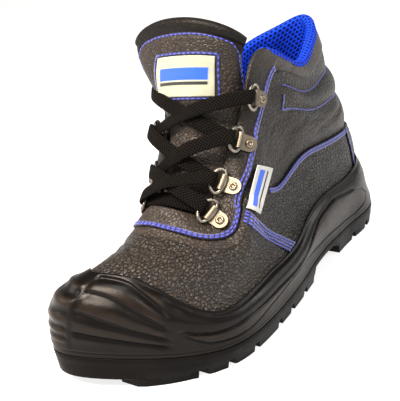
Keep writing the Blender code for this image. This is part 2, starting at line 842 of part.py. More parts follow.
def lace_strip(first, last, swell, lift):
    """Closed flat strip from one ring to another, arched over the tongue."""
    begin, out_a = first
    end, out_b = last
    middle = out_a + out_b
    middle = middle / np.linalg.norm(middle)
    rings = []
    for share in np.linspace(0, 1, 8):
        arch = math.sin(math.pi * share) ** 0.6 if 0 < share < 1 else 0.0
        point = begin + (end - begin) * share + middle * (swell * arch + lift)
        out = out_a * (1 - share) + out_b * share + middle * math.sin(math.pi * share)
        aside = np.cross(out, end - begin)
        aside = aside / np.linalg.norm(aside)
        out = np.cross(end - begin, aside)
        out = out / np.linalg.norm(out)
        ring = []
        for across, up in ((1, 1), (-1, 1), (-1, -1), (1, -1)):
            ring.append(point + aside * across * LACE_WIDTH / 2 + out * up * LACE_THICKNESS / 2)
        rings.append(ring)
    verts = [v for ring in rings for v in ring]
    tail = 4 * (len(rings) - 1)
    return verts, bands(rings) + [(0, 1, 2, 3), (tail, tail + 1, tail + 2, tail + 3)]


def build_laces():
    black = (0.015, 0.014, 0.014)
    ends = [lace_end(0, outer, False, 0.0) for outer in (True, False)]
    verts, faces = lace_strip(ends[0], ends[1], LACE_SWELL[0], 0)
    solid("lace_bar", verts, faces, black, 0.8)
    for k in range(3):
        swell = LACE_SWELL[k + 1]
        under, faces = lace_strip(lace_end(k, True, k == 0), lace_end(k + 1, False, True), swell, 0)
        over, more = lace_strip(lace_end(k, False, k == 0), lace_end(k + 1, True, True), swell, 0.0005)
        cross = solid("lace_cross_%d" % (k + 1), under, faces, black, 0.8)
        other = solid("lace_over_%d" % (k + 1), over, more, black, 0.8)
        other.hide_render = True
        other.display_type = "WIRE"
        join = cross.modifiers.new("join", "BOOLEAN")
        join.operation = "UNION"
        join.solver = "EXACT"
        join.object = other


def build_loops():
    for side, outer in (("outer", True), ("inner", False)):
        for index in range(len(LOOPS)):
            frame = loop_frame(index, outer)
            mark = "%s_%d" % (side, index + 1)
            build_clip("lace_clip_" + mark, frame)
            build_rivet("rivet_" + mark, frame)
            build_ring("lace_ring_" + mark, frame, math.radians(LOOPS[index][2]))


def centre():
    """Put the middle of the whole shoe's box over the origin."""
    meshes = [thing.data for thing in bpy.data.objects]
    spots = np.array([v.co for mesh in meshes for v in mesh.vertices])
    middle = (spots.min(axis=0) + spots.max(axis=0)) / 2
    for mesh in meshes:
        mesh.transform(Matrix.Translation((-middle[0], -middle[1], 0)))


def main():
    for thing in list(bpy.data.objects):
        bpy.data.objects.remove(thing, do_unlink=True)
    build_outsole()
    build_midsole()
    build_upper()
    build_insole()
    build_tongue()
    build_patch()
    build_tag()
    build_loops()
    build_laces()
    centre()


main()
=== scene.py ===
"""Dresses the left work shoe for its render: leather, rubber, lining, laces and metal."""
import math

import bmesh
import bpy
import numpy as np
from mathutils import Matrix


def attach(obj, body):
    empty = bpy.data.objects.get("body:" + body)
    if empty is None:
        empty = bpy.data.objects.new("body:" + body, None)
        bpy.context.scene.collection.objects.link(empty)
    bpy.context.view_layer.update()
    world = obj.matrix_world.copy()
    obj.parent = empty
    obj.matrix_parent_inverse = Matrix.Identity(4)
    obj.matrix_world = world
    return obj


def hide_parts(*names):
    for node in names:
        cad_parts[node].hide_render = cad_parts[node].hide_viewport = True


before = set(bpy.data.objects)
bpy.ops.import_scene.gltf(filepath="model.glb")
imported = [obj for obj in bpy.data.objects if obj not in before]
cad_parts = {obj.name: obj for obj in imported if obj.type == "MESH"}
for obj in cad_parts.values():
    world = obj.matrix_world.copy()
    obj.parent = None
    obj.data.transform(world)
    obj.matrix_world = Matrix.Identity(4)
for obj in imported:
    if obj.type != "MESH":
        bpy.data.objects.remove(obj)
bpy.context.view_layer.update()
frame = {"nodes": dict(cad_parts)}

# Main sizes
LENGTH = 0.304
BALL_WIDTH = 0.1087
SHAFT_HEIGHT = 0.163
GAP = 0.0004
INSOLE_THICKNESS = 0.0035
GUARD_EDGE = 0.0020
LUG_TAPER = 0.0008
WIRE = 0.0011
RING_WIDTH = 0.0150
RING_REACH = 0.0072
CLIP_WIDTH = 0.0100
CLIP_LENGTH = 0.0117
CLIP_THICKNESS = 0.0009
CLIP_LIFT = 0.0006
LACE_SWELL = (0.0055, 0.0070, 0.0100, 0.0130)

# One table unit is this share of its named size
SIDE = BALL_WIDTH / 104
ALONG = LENGTH / 291
UP = SHAFT_HEIGHT / 156

# Levels of the last, from the sole up
LEVELS = ("feather", "wall", "rim", "mid", "edge", "roll", "mouth")

# Sections of the last: place round the shoe (0 toe, 1 heel), then for each level
# outer side, inner side, along, up
LAST = (
    (0.00, (-18, -18, -123, 24), (-19, -19, -127, 42), (-8, -8, -110, 65), (-3, -3, -88, 69.5),
     (-2, -2, -67, 74.5), (-1.5, -1.5, -62, 79), (-1, -1, -58, 83)),
    (0.08, (0, -33, -117, 23), (3, -35, -120.5, 41), (9.5, -16, -105.5, 63.5), (11, -10, -86, 68),
     (7.5, -10, -66.5, 73.5), (6.5, -8.5, -61.5, 78.5), (5.5, -7, -57.5, 82.5)),
    (0.17, (25, -41.5, -101, 20), (29, -44.5, -103.5, 36), (27, -28, -96, 54), (23.5, -19, -80, 64.5),
     (18.5, -17.5, -64.5, 71), (14, -14.5, -59, 77), (11, -11.5, -55.5, 80.5)),
    (0.26, (43, -43, -81, 18), (46.5, -46, -82.5, 29), (45.5, -40, -81, 37), (38, -27.5, -73, 55.5),
     (29, -24.5, -58, 66.5), (22, -19.5, -53.5, 72.5), (17, -15.5, -50.5, 77)),
    (0.36, (48.5, -42, -54, 17), (52, -45, -55, 26.5), (50.5, -42, -54, 34), (46.5, -34, -50, 51),
     (39.5, -28.5, -42.5, 67), (30.5, -23.5, -42.5, 72.5), (21.5, -18.5, -43, 77)),
    (0.46, (46.5, -36, -23, 19), (50, -39, -24, 27), (47, -37, -23, 33.5), (45.5, -34.5, -26, 58),
     (41, -31, -30.5, 84), (33, -26, -31, 88.5), (24.5, -20.5, -30, 94.5)),
    (0.55, (42, -29, 6, 21), (45.5, -32, 6, 28), (43.5, -31, 7, 35), (42, -32.5, -1, 58),
     (39.5, -32, -8, 81.5), (36.5, -30.5, -15, 104), (28, -24.5, -16, 115)),
    (0.63, (38, -26.5, 29, 22), (41.5, -28.5, 29, 31), (39.5, -29, 30, 41.5), (38, -30.5, 24, 58),
     (37, -32, 12, 76), (36, -32, 1, 115), (31, -28.5, -6, 137)),
    (0.70, (35.5, -26, 51, 23), (39, -28, 51, 33), (37, -29, 51, 47), (36, -31, 47, 62),
     (35, -33, 39, 83), (35.5, -33.5, 30, 118), (33.5, -32, 11, 160)),
    (0.77, (33.5, -27.5, 73, 23), (36.5, -29.5, 73, 34), (35, -29, 73, 48), (34.5, -31, 71, 63),
     (33.5, -32, 66, 82.5), (33.5, -32.5, 60, 108), (30, -30, 49.5, 142)),
    (0.85, (31, -28.5, 97, 23), (34, -31, 98, 34), (33, -30.5, 99, 47), (32, -30.5, 98.5, 62),
     (31, -30, 96.5, 79.5), (29, -28.5, 93, 104.5), (22, -25, 81.5, 144.5)),
    (0.93, (22, -21, 125, 23), (25, -24, 128.5, 35), (24, -23, 129.5, 52), (23, -22, 128.5, 64),
     (21.5, -20.5, 125, 77), (19.5, -18.5, 118, 104), (11, -14, 106.5, 151.5)),
    (1.00, (0, 0, 136, 23), (0, 0, 141.5, 36), (0, 0, 143, 55), (0, 0, 142, 65),
     (0, 0, 139, 76), (0, 0, 129.5, 105), (0, 0, 116, 157)),
)

# Outline of the sole: place, outer side, inner side, along
OUTLINE = (
    (0.00, -22, -22, -135),
    (0.08, 3.5, -39, -127),
    (0.17, 31.5, -47, -108),
    (0.26, 51, -49.5, -82.5),
    (0.36, 56.5, -49.5, -54.5),
    (0.46, 54, -43.5, -23),
    (0.55, 49.5, -36.5, 6),
    (0.63, 45, -33, 29),
    (0.70, 42, -32, 51),
    (0.77, 39.5, -33.5, 73.5),
    (0.85, 37.5, -35, 99),
    (0.93, 31, -30.5, 136),
    (1.00, 0, 0, 156),
)

# Heights of the sole along its length: along, parting, base of tread, ground
PROFILE = (
    (-135, 22.5, 8.0, 1.8),
    (-118, 19.5, 5.8, 0.6),
    (-106, 17.0, 5.0, 0.1),
    (-94, 15.0, 4.8, 0.0),
    (-82, 13.5, 4.6, 0.0),
    (-54, 12.3, 4.6, 0.0),
    (-23, 12.3, 4.6, 0.0),
    (6, 13.0, 4.8, 0.0),
    (28.5, 14.5, 5.2, 0.0),
    (33, 14.8, 10.0, 0.0),
    (50, 16.0, 10.4, 0.0),
    (64, 15.6, 10.0, 0.0),
    (72, 15.2, 5.6, 0.0),
    (99, 14.4, 5.0, 0.0),
    (156, 14.4, 5.0, 0.0),
)

# Tread blocks: first and last place along the sole
BLOCKS = (
    (-120, -96),
    (-91.5, -80),
    (-76, -59),
    (-55, -30.5),
    (-26.5, -12),
    (-8, 10),
    (14, 28.5),
    (72, 96),
    (100, 117.5),
    (121.5, 139),
)
# Shares across the sole where the tread blocks start and end
ACROSS = (0.0, 0.23, 0.29, 0.71, 0.77, 1.0)

# Tongue: centre along and up, then outer edge side, along, up, inner edge side, along, up
TONGUE = (
    (-73, 67.5, 11, -69, 64, -11, -69, 64),
    (-60, 74.0, 17, -53, 68.5, -15.5, -53, 68.5),
    (-47, 83.5, 22.5, -35.5, 67.5, -18.5, -35.5, 67.5),
    (-36, 97.0, 26.5, -20, 85.5, -20.5, -20, 86),
    (-25.5, 118.0, 28, -5, 110, -20, -12.5, 112),
    (-19.5, 140.0, 26.5, 3, 133, -27, -13.5, 137),
    (-16, 163.0, 27.5, 1, 155, -38.5, -12, 157),
    (-12.5, 185.0, 34, 0.5, 169.5, -39.5, -10.5, 171),
)

# Facing's back edge: place round the shoe, level
FACING = (
    (0, 4.0),
    (0.42, 4.0),
    (0.46, 4.16),
    (0.54, 4.80),
    (0.61, 5.05),
    (0.65, 5.28),
    (0.70, 5.60),
    (0.74, 5.70),
    (1, 5.70),
)

# Rim of the toe and heel guards: place round the shoe, level
GUARD = (
    (0, 1.95),
    (0.10, 1.95),
    (0.18, 1.85),
    (0.22, 1.78),
    (0.30, 1.86),
    (0.46, 1.95),
    (0.57, 1.80),
    (0.64, 1.95),
    (1, 1.95),
)

# Lace loops from the toe up: place round the shoe, level of the rivet, ring's tilt in degrees
LOOPS = (
    (0.352, 4.98, 22),
    (0.464, 4.95, 18),
    (0.564, 5.28, 14),
    (0.652, 5.50, 4),
)

# Bow of a lace ring: share of its reach, share of half its width
BOW = (
    (0, -0.80),
    (0, 0.80),
    (0.15, 0.97),
    (0.45, 1.0),
    (0.78, 0.76),
    (1, 0.30),
    (1, -0.30),
    (0.78, -0.76),
    (0.45, -1.0),
    (0.15, -0.97),
)


def smooth(low, high, value):
    """Soft step from 0 at low to 1 at high."""
    share = np.clip((value - low) / (high - low), 0, 1)
    return share * share * (3 - 2 * share)


def bends(step, slope, closed):
    """Second slopes of smooth curves at their knots; the first axis runs over the curves."""
    size = step.shape[1] + (not closed)
    matrix = np.zeros((len(step), size, size))
    right = np.zeros((len(step), size, slope.shape[-1]))
    for i in range(size):
        if not closed and i in (0, size - 1):
            matrix[:, i, i] = 1
            continue
        matrix[:, i, (i - 1) % size] += step[:, i - 1]
        matrix[:, i, i] += 2 * (step[:, i - 1] + step[:, i])
        matrix[:, i, (i + 1) % size] += step[:, i]
        right[:, i] = 6 * (slope[:, i] - slope[:, i - 1])
    bend = np.linalg.solve(matrix, right)
    return np.concatenate([bend, bend[:, :1]], axis=1) if closed else bend


def between(share, width, rows, bend, low, high):
    """Points on cubics, a share of the way from rows[low] to rows[high]."""
    a = 1 - share
    b = share
    flat = a * rows[low] + b * rows[high]
    return flat + ((a ** 3 - a) * bend[low] + (b ** 3 - b) * bend[high]) * width ** 2 / 6


def curve(knots, rows, closed=False):
    """Smooth cubic curve through rows at knots, as a function; a closed one starts at 0."""
    flat = rows.reshape(len(knots), -1)
    step = np.diff(knots)
    bend = bends(step[None], (np.diff(flat, axis=0) / step[:, None])[None], closed)[0]

    def read(where):
        shape = np.shape(where)
        where = np.mod(np.ravel(where), knots[-1]) if closed else np.ravel(where)
        cell = np.clip(np.searchsorted(knots, where, side="right") - 1, 0, len(knots) - 2)
        width = step[cell][:, None]
        out = between((where - knots[cell])[:, None] / width, width, flat, bend, cell, cell + 1)
        return out.reshape(shape + rows.shape[1:])

    return read


def closed_rows(table, entries):
    """Rows of a table all the way round, outer side first, then the inner side."""
    places = []
    rows = []
    for row in table:
        places.append(row[0])
        rows.append([(e[0], e[2], e[3]) for e in entries(row)])
    for row in reversed(table[:-1]):
        places.append(2 - row[0])
        rows.append([(e[1], e[2], e[3]) for e in entries(row)])
    return np.array(places), np.array(rows, float) * np.array([SIDE, ALONG, UP])


# Rows of the last (levels x 3) and of the sole's outline, read at places round the shoe
sections = curve(*closed_rows(LAST, lambda row: row[1:]), True)
sole_line = curve(*closed_rows(OUTLINE, lambda row: [(row[1], row[2], row[3], 0)]), True)

# Middle of the whole shoe's box in the tables' own frame
MIDDLE = np.array([0.0033572, 0.0107396, 0.0])


def last_points(places, levels):
    """Points on the last's skin for equal lists of places and levels."""
    rows = sections(places)
    step = np.linalg.norm(np.diff(rows, axis=1), axis=2)
    bend = bends(step, np.diff(rows, axis=1) / step[..., None], False)
    cell = np.clip(np.floor(levels).astype(int), 0, rows.shape[1] - 2)
    pick = np.arange(len(rows))
    width = step[pick, cell][:, None]
    return between((levels - cell)[:, None], width, rows, bend, (pick, cell), (pick, cell + 1))


def unit(vectors):
    return vectors / np.linalg.norm(vectors, axis=-1, keepdims=True)


def even(places, levels):
    """Two flat lists of one length; either may be a single number."""
    return np.broadcast_arrays(np.ravel(places).astype(float), np.ravel(levels).astype(float))


def skins(places, levels):
    """Points on the last's skin and their outward directions."""
    places, levels = even(places, levels)
    across = last_points(places + 0.004, levels) - last_points(places - 0.004, levels)
    high = np.minimum(levels + 0.02, len(LEVELS) - 1)
    rise = last_points(places, high) - last_points(places, np.maximum(levels - 0.02, 0))
    return last_points(places, levels), unit(np.cross(across, rise))


def inset(places, levels, depth):
    """Points at a depth under the last's skin, in the shoe's frame."""
    spot, out = skins(places, levels)
    return spot - out * np.reshape(depth, (-1, 1)) - MIDDLE


def side_of(places):
    """Place counted from the toe on either side: 0 toe, 1 heel."""
    turn = np.mod(places, 2.0)
    return np.minimum(turn, 2.0 - turn)


def signed(places):
    """Place counted from the toe, less than 0 on the inner side."""
    return np.mod(places + 1.0, 2.0) - 1.0


def read_table(table, places):
    return np.interp(side_of(places), *np.transpose(table))


def facing_levels(places):
    return read_table(FACING, places)


def guard_levels(places):
    return read_table(GUARD, places)


def quarter_levels(places):
    return 3.7 + 0.3 * smooth(0.46, 0.56, side_of(places))


def trough(value, centre, width):
    """Bell curve round centre; a width a side gives it a steep and a gentle flank."""
    return np.exp(-((value - centre) / width) ** 2)


# Creases of the upper: first place and level, last place and level, width in levels, depth in metres
CREASES = (
    (-0.30, 3.35, 0.34, 3.20, 0.11, 0.0006),
    (-0.26, 2.95, 0.30, 2.80, 0.10, 0.0005),
    (0.17, 2.55, 0.36, 2.95, 0.08, 0.0005),
    (0.60, 3.55, 0.86, 3.35, 0.09, 0.0005),
    (0.56, 2.85, 0.74, 3.05, 0.10, 0.0005),
    (0.66, 4.35, 0.76, 4.85, 0.06, 0.0009),
    (0.76, 4.30, 0.90, 4.70, 0.09, 0.0010),
    (0.73, 4.75, 0.88, 4.60, 0.07, 0.0008),
    (0.64, 4.72, 0.72, 4.98, 0.05, 0.0007),
    (0.70, 5.62, 0.76, 5.86, 0.05, 0.0007),
    (0.60, 4.20, 0.70, 4.45, 0.05, 0.0006),
)


def creases(places, levels):
    """Soft troughs and the low ridges beside them."""
    turn = signed(places)
    out = np.zeros_like(places)
    for p0, l0, p1, l1, width, depth in CREASES:
        for flip in (1, -1):
            along = np.clip((flip * turn - p0) / (p1 - p0), -0.2, 1.2)
            line = l0 + (l1 - l0) * along + 0.05 * np.sin(along * 7.0)
            fade = smooth(-0.15, 0.25, along) * (1 - smooth(0.75, 1.15, along))
            gap = (levels - line) / width
            out += depth * fade * (0.45 * trough(gap, 1.9, 1.1) - trough(gap, 0, 1))
    return out


# Side seam of the leather: place and level of its top, levels it rises for each place
SEAM_PLACE = 0.413
SEAM_LEVEL = 4.12
SEAM_SLOPE = -18.3
# Places where the facing's edge fades out and where the quarter's edge fades in
FACING_END = (0.70, 0.74)
QUARTER_START = (0.53, 0.58)
# Place of the back strip's seam and its width in places
BACK_SEAM = 0.893
SEAM_WIDTH = 0.004
# Levels where the relief starts, of the top edge and just under it
RELIEF_FOOT = 2.0
TOP_EDGE = 5.97
TOP_BAND = 5.9
# Padded rolls of the collar: lowest level, highest level, height in metres
ROLLS = ((4.05, 5.0, 0.0028), (5.0, 5.4, 0.0032), (5.4, 6.25, 0.0034))


def seam_line(side):
    return SEAM_LEVEL + (side - SEAM_PLACE) * SEAM_SLOPE


def reliefs(places, levels):
    """Raised and padded parts of the upper, in metres."""
    side = side_of(places)
    face = facing_levels(places)
    top = quarter_levels(places)
    out = np.where(levels > face, 0.0013 * (1 - smooth(*FACING_END, side)), 0.0)
    panel = (levels > top) & (levels < face) & (side > 0.5)
    out = out - np.where(panel, 0.0010 * smooth(*QUARTER_START, side), 0.0)
    for low, high, height in ROLLS:
        share = np.clip((levels - low) / (high - low), 0, 1)
        out = out + smooth(0.67, 0.73, side) * height * np.sin(math.pi * share) ** 0.7
    out = out + 0.0010 * smooth(0.925, 0.935, side) * (levels < top)
    # The leather sinks a little along its seams
    out = out - 0.0008 * trough(side, BACK_SEAM, SEAM_WIDTH) * (levels < top)
    seam = smooth(0.40, 0.43, side) * (1 - smooth(0.565, 0.58, side)) * (levels < face)
    out = out - 0.0005 * trough(levels, seam_line(side), 0.10) * seam
    return np.where(levels > RELIEF_FOOT, out, 0.0)


def upper_surface(places, levels):
    """Points on the dressed leather and their outward directions."""
    places, levels = even(places, levels)
    spot, out = skins(places, levels)
    lift = reliefs(places, np.minimum(levels, TOP_BAND))
    lift = lift + np.where(levels > 1.9, creases(places, levels), 0)
    return spot + out * lift[:, None] - MIDDLE, out


def make_mesh(name, verts, faces, uv=None, masks=None):
    """A smooth mesh piece from rows of points; uv holds two values a point, masks one each."""
    mesh = bpy.data.meshes.new(name)
    mesh.from_pydata(np.reshape(verts, (-1, 3)).tolist(), [], faces)
    if uv is not None:
        layer = mesh.uv_layers.new(name="UVMap")
        index = np.zeros(len(mesh.loops), int)
        mesh.loops.foreach_get("vertex_index", index)
        layer.data.foreach_set("uv", np.reshape(uv, (-1, 2))[index].ravel())
    for key, values in (masks or {}).items():
        mesh.attributes.new(key, "FLOAT", "POINT").data.foreach_set("value", np.ravel(values))
    mesh.polygons.foreach_set("use_smooth", np.ones(len(mesh.polygons), bool))
    mesh.update()
    return add_object(name, mesh)


def add_object(name, data):
    """Link a mesh, lamp or camera to the scene."""
    thing = bpy.data.objects.new(name, data)
    bpy.context.scene.collection.objects.link(thing)
    return thing


def face_out(thing):
    """Turn all faces of a closed mesh outwards."""
    work = bmesh.new()
    work.from_mesh(thing.data)
    bmesh.ops.recalc_face_normals(work, faces=work.faces[:])
    work.to_mesh(thing.data)
    work.free()


def round_off(thing, width, angle):
    """Small rounded edges."""
    bevel = thing.modifiers.new("edges", "BEVEL")
    bevel.width = width
    bevel.segments = 2
    bevel.limit_method = "ANGLE"
    bevel.angle_limit = math.radians(angle)
    bevel.harden_normals = True


def grid_faces(rows, count, closed=True, flip=False):
    """Faces of a grid of rows with count points each."""
    faces = []
    for r in range(0, (rows - 1) * count, count):
        for c in range(count if closed else count - 1):
            d = (c + 1) % count
            face = (r + c, r + d, r + count + d, r + count + c)
            faces.append(face[::-1] if flip else face)
    return faces


def dress(thing, paint, slot, *nodes):
    """Give a piece its material and fix it to the shoe."""
    thing.data.materials.clear()
    thing.data.materials.append(paint)
    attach(thing, "root")
    if nodes:
        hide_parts(*nodes)
    return thing


def sweep(points, widths_dir, section, closed=False):
    """Verts and faces of a section carried along points; widths_dir is its first direction."""
    ends = np.roll(points, -1, 0) - np.roll(points, 1, 0) if closed else np.gradient(points, axis=0)
    run = unit(ends)
    aside = unit(widths_dir - (widths_dir * run).sum(-1, keepdims=True) * run)
    up = np.cross(aside, run)
    section = np.asarray(section, float)
    verts = points[:, None] + aside[:, None] * section[:, :1] + up[:, None] * section[:, 1:]
    count = len(section)
    rings = len(points)
    faces = grid_faces(rings + closed, count)
    if closed:
        size = rings * count
        faces[-count:] = [tuple(v % size for v in face) for face in faces[-count:]]
    else:
        faces.append(tuple(range(count - 1, -1, -1)))
        faces.append(tuple(range((rings - 1) * count, rings * count)))
    return verts.reshape(-1, 3), faces


def run_along(points):
    """Length from the first point to each point of a line."""
    return np.concatenate([[0], np.cumsum(np.linalg.norm(np.diff(points, axis=0), axis=1))])


def read_line(at, run, values):
    """Values a point read at lengths along a line."""
    return np.column_stack([np.interp(at, run, column) for column in values.T])


def join(pieces):
    """One list of verts and faces out of several."""
    verts = []
    faces = []
    start = 0
    for v, f in pieces:
        verts.append(v)
        faces.extend([tuple(i + start for i in face) for face in f])
        start += len(v)
    return np.concatenate(verts), faces


class Paint:
    """A node material, built one node at a time."""

    def __init__(self, name, colour, rough, metal=0.0, sheen=0.0, specular=0.5):
        self.material = bpy.data.materials.new(name)
        self.material.use_nodes = True
        self.tree = self.material.node_tree
        self.shader = self.tree.nodes["Principled BSDF"]
        self.set("Base Color", (*colour, 1))
        self.set("Roughness", rough)
        self.set("Metallic", metal)
        self.set("Sheen Weight", sheen)
        self.set("Specular IOR Level", specular)

    def set(self, key, value):
        self.shader.inputs[key].default_value = value

    def link(self, socket, target):
        self.tree.links.new(socket, target)

    def node(self, kind, inputs=(), **settings):
        made = self.tree.nodes.new(kind)
        for key, value in settings.items():
            setattr(made, key, value)
        for key, value in dict(inputs).items():
            if isinstance(value, bpy.types.NodeSocket):
                self.link(value, made.inputs[key])
            else:
                made.inputs[key].default_value = value
        return made

    def math(self, operation, a, b=0.0, clamp=False):
        return self.node("ShaderNodeMath", {0: a, 1: b}, operation=operation, use_clamp=clamp).outputs[0]

    def plus(self, a, b):
        return self.math("ADD", a, b)

    def minus(self, a, b):
        return self.math("SUBTRACT", a, b)

    def times(self, a, b, clamp=False):
        return self.math("MULTIPLY", a, b, clamp)

    def wave(self, value, length):
        return self.math("SINE", self.times(value, 2 * math.pi / length))

    def spread(self, value, low, high, out_low=0.0, out_high=1.0):
        made = self.node("ShaderNodeMapRange", {"Value": value, "From Min": low, "From Max": high,
                                                "To Min": out_low, "To Max": out_high})
        return made.outputs["Result"]

    def place(self):
        return self.node("ShaderNodeTexCoord").outputs["Object"]

    def cloth(self):
        return self.node("ShaderNodeUVMap", uv_map="UVMap").outputs["UV"]

    def mask(self, name):
        return self.node("ShaderNodeAttribute", attribute_name=name).outputs["Fac"]

    def noise(self, where, scale, detail=3.0, rough=0.5):
        inputs = {"Vector": where, "Scale": scale, "Detail": detail, "Roughness": rough}
        return self.node("ShaderNodeTexNoise", inputs).outputs["Fac"]

    def stretched(self, where, scale):
        return self.node("ShaderNodeMapping", {"Vector": where, "Scale": scale}).outputs[0]

    def cracks(self, where, scale):
        """Distance to the edge of the nearest cell."""
        inputs = {"Vector": where, "Scale": scale}
        return self.node("ShaderNodeTexVoronoi", inputs, feature="DISTANCE_TO_EDGE").outputs["Distance"]

    def domes(self, where, scale, smoothness):
        """1 in the middle of each cell, less towards its edge."""
        inputs = {"Vector": where, "Scale": scale, "Smoothness": smoothness}
        made = self.node("ShaderNodeTexVoronoi", inputs, feature="SMOOTH_F1")
        return self.minus(1.0, made.outputs["Distance"])

    def blend(self, share, a, b):
        made = self.node("ShaderNodeMix", data_type="RGBA")
        for key, value in ((0, share), (6, a), (7, b)):
            if isinstance(value, bpy.types.NodeSocket):
                self.link(value, made.inputs[key])
            elif key:
                made.inputs[key].default_value = (*value, 1)
            else:
                made.inputs[key].default_value = value
        return made.outputs[2]

    def tones(self, value, low, high, dark, light):
        """From dark to light as the value goes from low to high."""
        return self.blend(self.spread(value, low, high), dark, light)

    def bump(self, height, depth, strength=1.0, under=None):
        inputs = {"Height": height, "Distance": depth, "Strength": strength}
        made = self.node("ShaderNodeBump", inputs)
        if under is not None:
            self.link(under, made.inputs["Normal"])
        return made.outputs["Normal"]

    def finish(self, colour=None, rough=None, normal=None):
        for value, key in ((colour, "Base Color"), (rough, "Roughness"), (normal, "Normal")):
            if value is not None:
                self.link(value, self.shader.inputs[key])
        return self.material


def shade(colour, factor):
    return tuple(c * factor for c in colour)


# Leather's pebbles to the metre; lengths of the mesh's holes, the braid's yarns and the labels' threads
PEBBLES = 450.0
HOLE_PITCH = 0.0036
YARN = 0.0021
LABEL_RIB = 0.00055
LABEL_YARN = 0.0007


def leather_paint(name="leather"):
    """Dark grained leather: pebbles where the grain mask is high, fine wrinkles elsewhere."""
    p = Paint(name, (0.02, 0.018, 0.015), 0.42, specular=0.34)
    where = p.place()
    drift = p.node("ShaderNodeTexNoise", {"Vector": where, "Scale": 260.0, "Detail": 2.0})
    drift = drift.outputs["Color"]
    bent = p.node("ShaderNodeVectorMath", {0: drift, "Scale": 0.0026}, operation="SCALE").outputs[0]
    bent = p.node("ShaderNodeVectorMath", {0: where, 1: bent}, operation="ADD").outputs[0]
    bent = p.stretched(bent, (1.0, 0.75, 1.0))
    valley = p.spread(p.cracks(bent, PEBBLES), 0.0, 0.20)
    pebbles = p.plus(p.times(valley, 0.55), p.times(p.domes(bent, PEBBLES, 0.3), 0.7))
    share = p.spread(p.mask("grain"), 0, 2, 0.10, 1.9)
    height = p.plus(p.times(pebbles, share), p.times(p.domes(bent, 3 * PEBBLES, 0.5), 0.14))
    height = p.plus(height, p.times(p.noise(where, 2600.0), 0.04))
    normal = p.bump(p.noise(where, 38.0, 3.0, 0.6), 0.0018, 0.40, p.bump(height, 0.00095))
    patchy = p.noise(where, 24.0, 5.0, 0.65)
    colour = p.tones(patchy, 0.35, 0.70, (0.0190, 0.0148, 0.0118), (0.0420, 0.0308, 0.0220))
    # The edge mask darkens towards near black: darker leather on the quarter, facing and tongue band,
    # and painted shade along seams and steps.
    colour = p.blend(p.mask("edge"), colour, (0.0015, 0.0014, 0.0014))
    # Painted shade: the pebbles' valleys are darkened to near black where the grain is strong.
    painted_valley_shade = p.times(p.minus(1.0, valley), share, clamp=True)
    colour = p.blend(painted_valley_shade, colour, (0.0004, 0.0004, 0.0004))
    rough = p.spread(p.noise(where, 60.0, 4.0), 0.3, 0.7, 0.36, 0.48)
    p.link(p.spread(p.mask("edge"), 0.5, 1, 0.34, 0.08), p.shader.inputs["Specular IOR Level"])
    return p.finish(colour, rough, normal)


def rubber_paint(name, colour, rough, mottled, shine):
    """Moulded rubber with a fine skin, a little dust, and a painted highlight of lighter brown along the
    raised crests.
    """
    p = Paint(name, colour, rough, specular=shine)
    where = p.place()
    flow = p.noise(where, 55.0, 4.0, 0.6)
    normal = p.bump(flow, 0.0010, 0.35, p.bump(p.noise(where, 1500.0), 0.00010, 0.6))
    dust = p.times(p.spread(p.noise(where, 30.0, 6.0, 0.7), 0.45, 0.75), mottled)
    tint = p.blend(dust, colour, tuple(c * 1.9 + 0.002 for c in colour))
    # Painted highlight: lighter brown on the raised crests of the moulded side.
    painted_crest_highlight = p.times(p.mask("painted_crest_highlight"), p.spread(p.noise(where, 90.0, 4.0), 0.25, 0.7, 0.35, 1.0))
    tint = p.blend(painted_crest_highlight, tint, (0.021, 0.0145, 0.0105))
    return p.finish(tint, p.spread(flow, 0.3, 0.7, rough - 0.06, rough + 0.10), normal)


def thread_paint(name, colour):
    p = Paint(name, colour, 0.55, sheen=0.3, specular=0.4)
    twist = p.noise(p.place(), 1700.0, 2.0)
    tint = p.tones(twist, 0.3, 0.7, shade(colour, 0.6), shade(colour, 1.25))
    return p.finish(tint, None, p.bump(twist, 0.0002, 0.8))


def mesh_paint():
    """Bright blue spacer mesh with rows of round holes, grey felt lower down."""
    p = Paint("lining_mesh", (0.004, 0.05, 0.75), 0.7, specular=0.12)
    split = p.node("ShaderNodeSeparateXYZ", {0: p.cloth()})

    def dots(shift):
        u = p.math("FRACT", p.plus(p.math("DIVIDE", split.outputs[0], HOLE_PITCH), shift))
        v = p.math("FRACT", p.plus(p.math("DIVIDE", split.outputs[1], HOLE_PITCH * 1.5), shift))
        u = p.minus(u, 0.5)
        v = p.times(p.minus(v, 0.5), 1.5)
        return p.math("SQRT", p.plus(p.times(u, u), p.times(v, v)))

    hole = p.spread(p.math("MINIMUM", dots(0.0), dots(0.5)), 0.22, 0.38, 1.0, 0.0)
    yarn = p.noise(p.cloth(), 2600.0, 2.0)
    blue = p.tones(yarn, 0.3, 0.7, (0.0020, 0.030, 0.55), (0.0045, 0.070, 0.88))
    blue = p.blend(hole, blue, (0.0008, 0.004, 0.07))
    colour = p.blend(p.mask("lower"), blue, (0.012, 0.012, 0.013))
    height = p.plus(p.times(hole, -1.0), p.times(yarn, 0.2))
    return p.finish(colour, None, p.bump(height, 0.0009, 0.9))


def lace_paint(name, dark, light):
    """Flat braid: two sets of slanting yarns that meet along the middle."""
    p = Paint(name, dark, 0.75, specular=0.05)
    split = p.node("ShaderNodeSeparateXYZ", {0: p.cloth()})
    slant = p.times(p.math("ABSOLUTE", split.outputs[1]), 0.9)
    yarn = p.wave(p.plus(split.outputs[0], slant), YARN)
    cross = p.wave(p.minus(split.outputs[0], slant), YARN)
    height = p.math("MAXIMUM", yarn, p.times(cross, 0.7))
    height = p.plus(height, p.times(p.noise(p.place(), 3000.0), 0.8))
    # Painted highlight and shade: the yarns' crests are lighter and the gaps between them darker.
    return p.finish(p.tones(height, 0.5, 1.7, dark, light), None, p.bump(height, 0.00045))


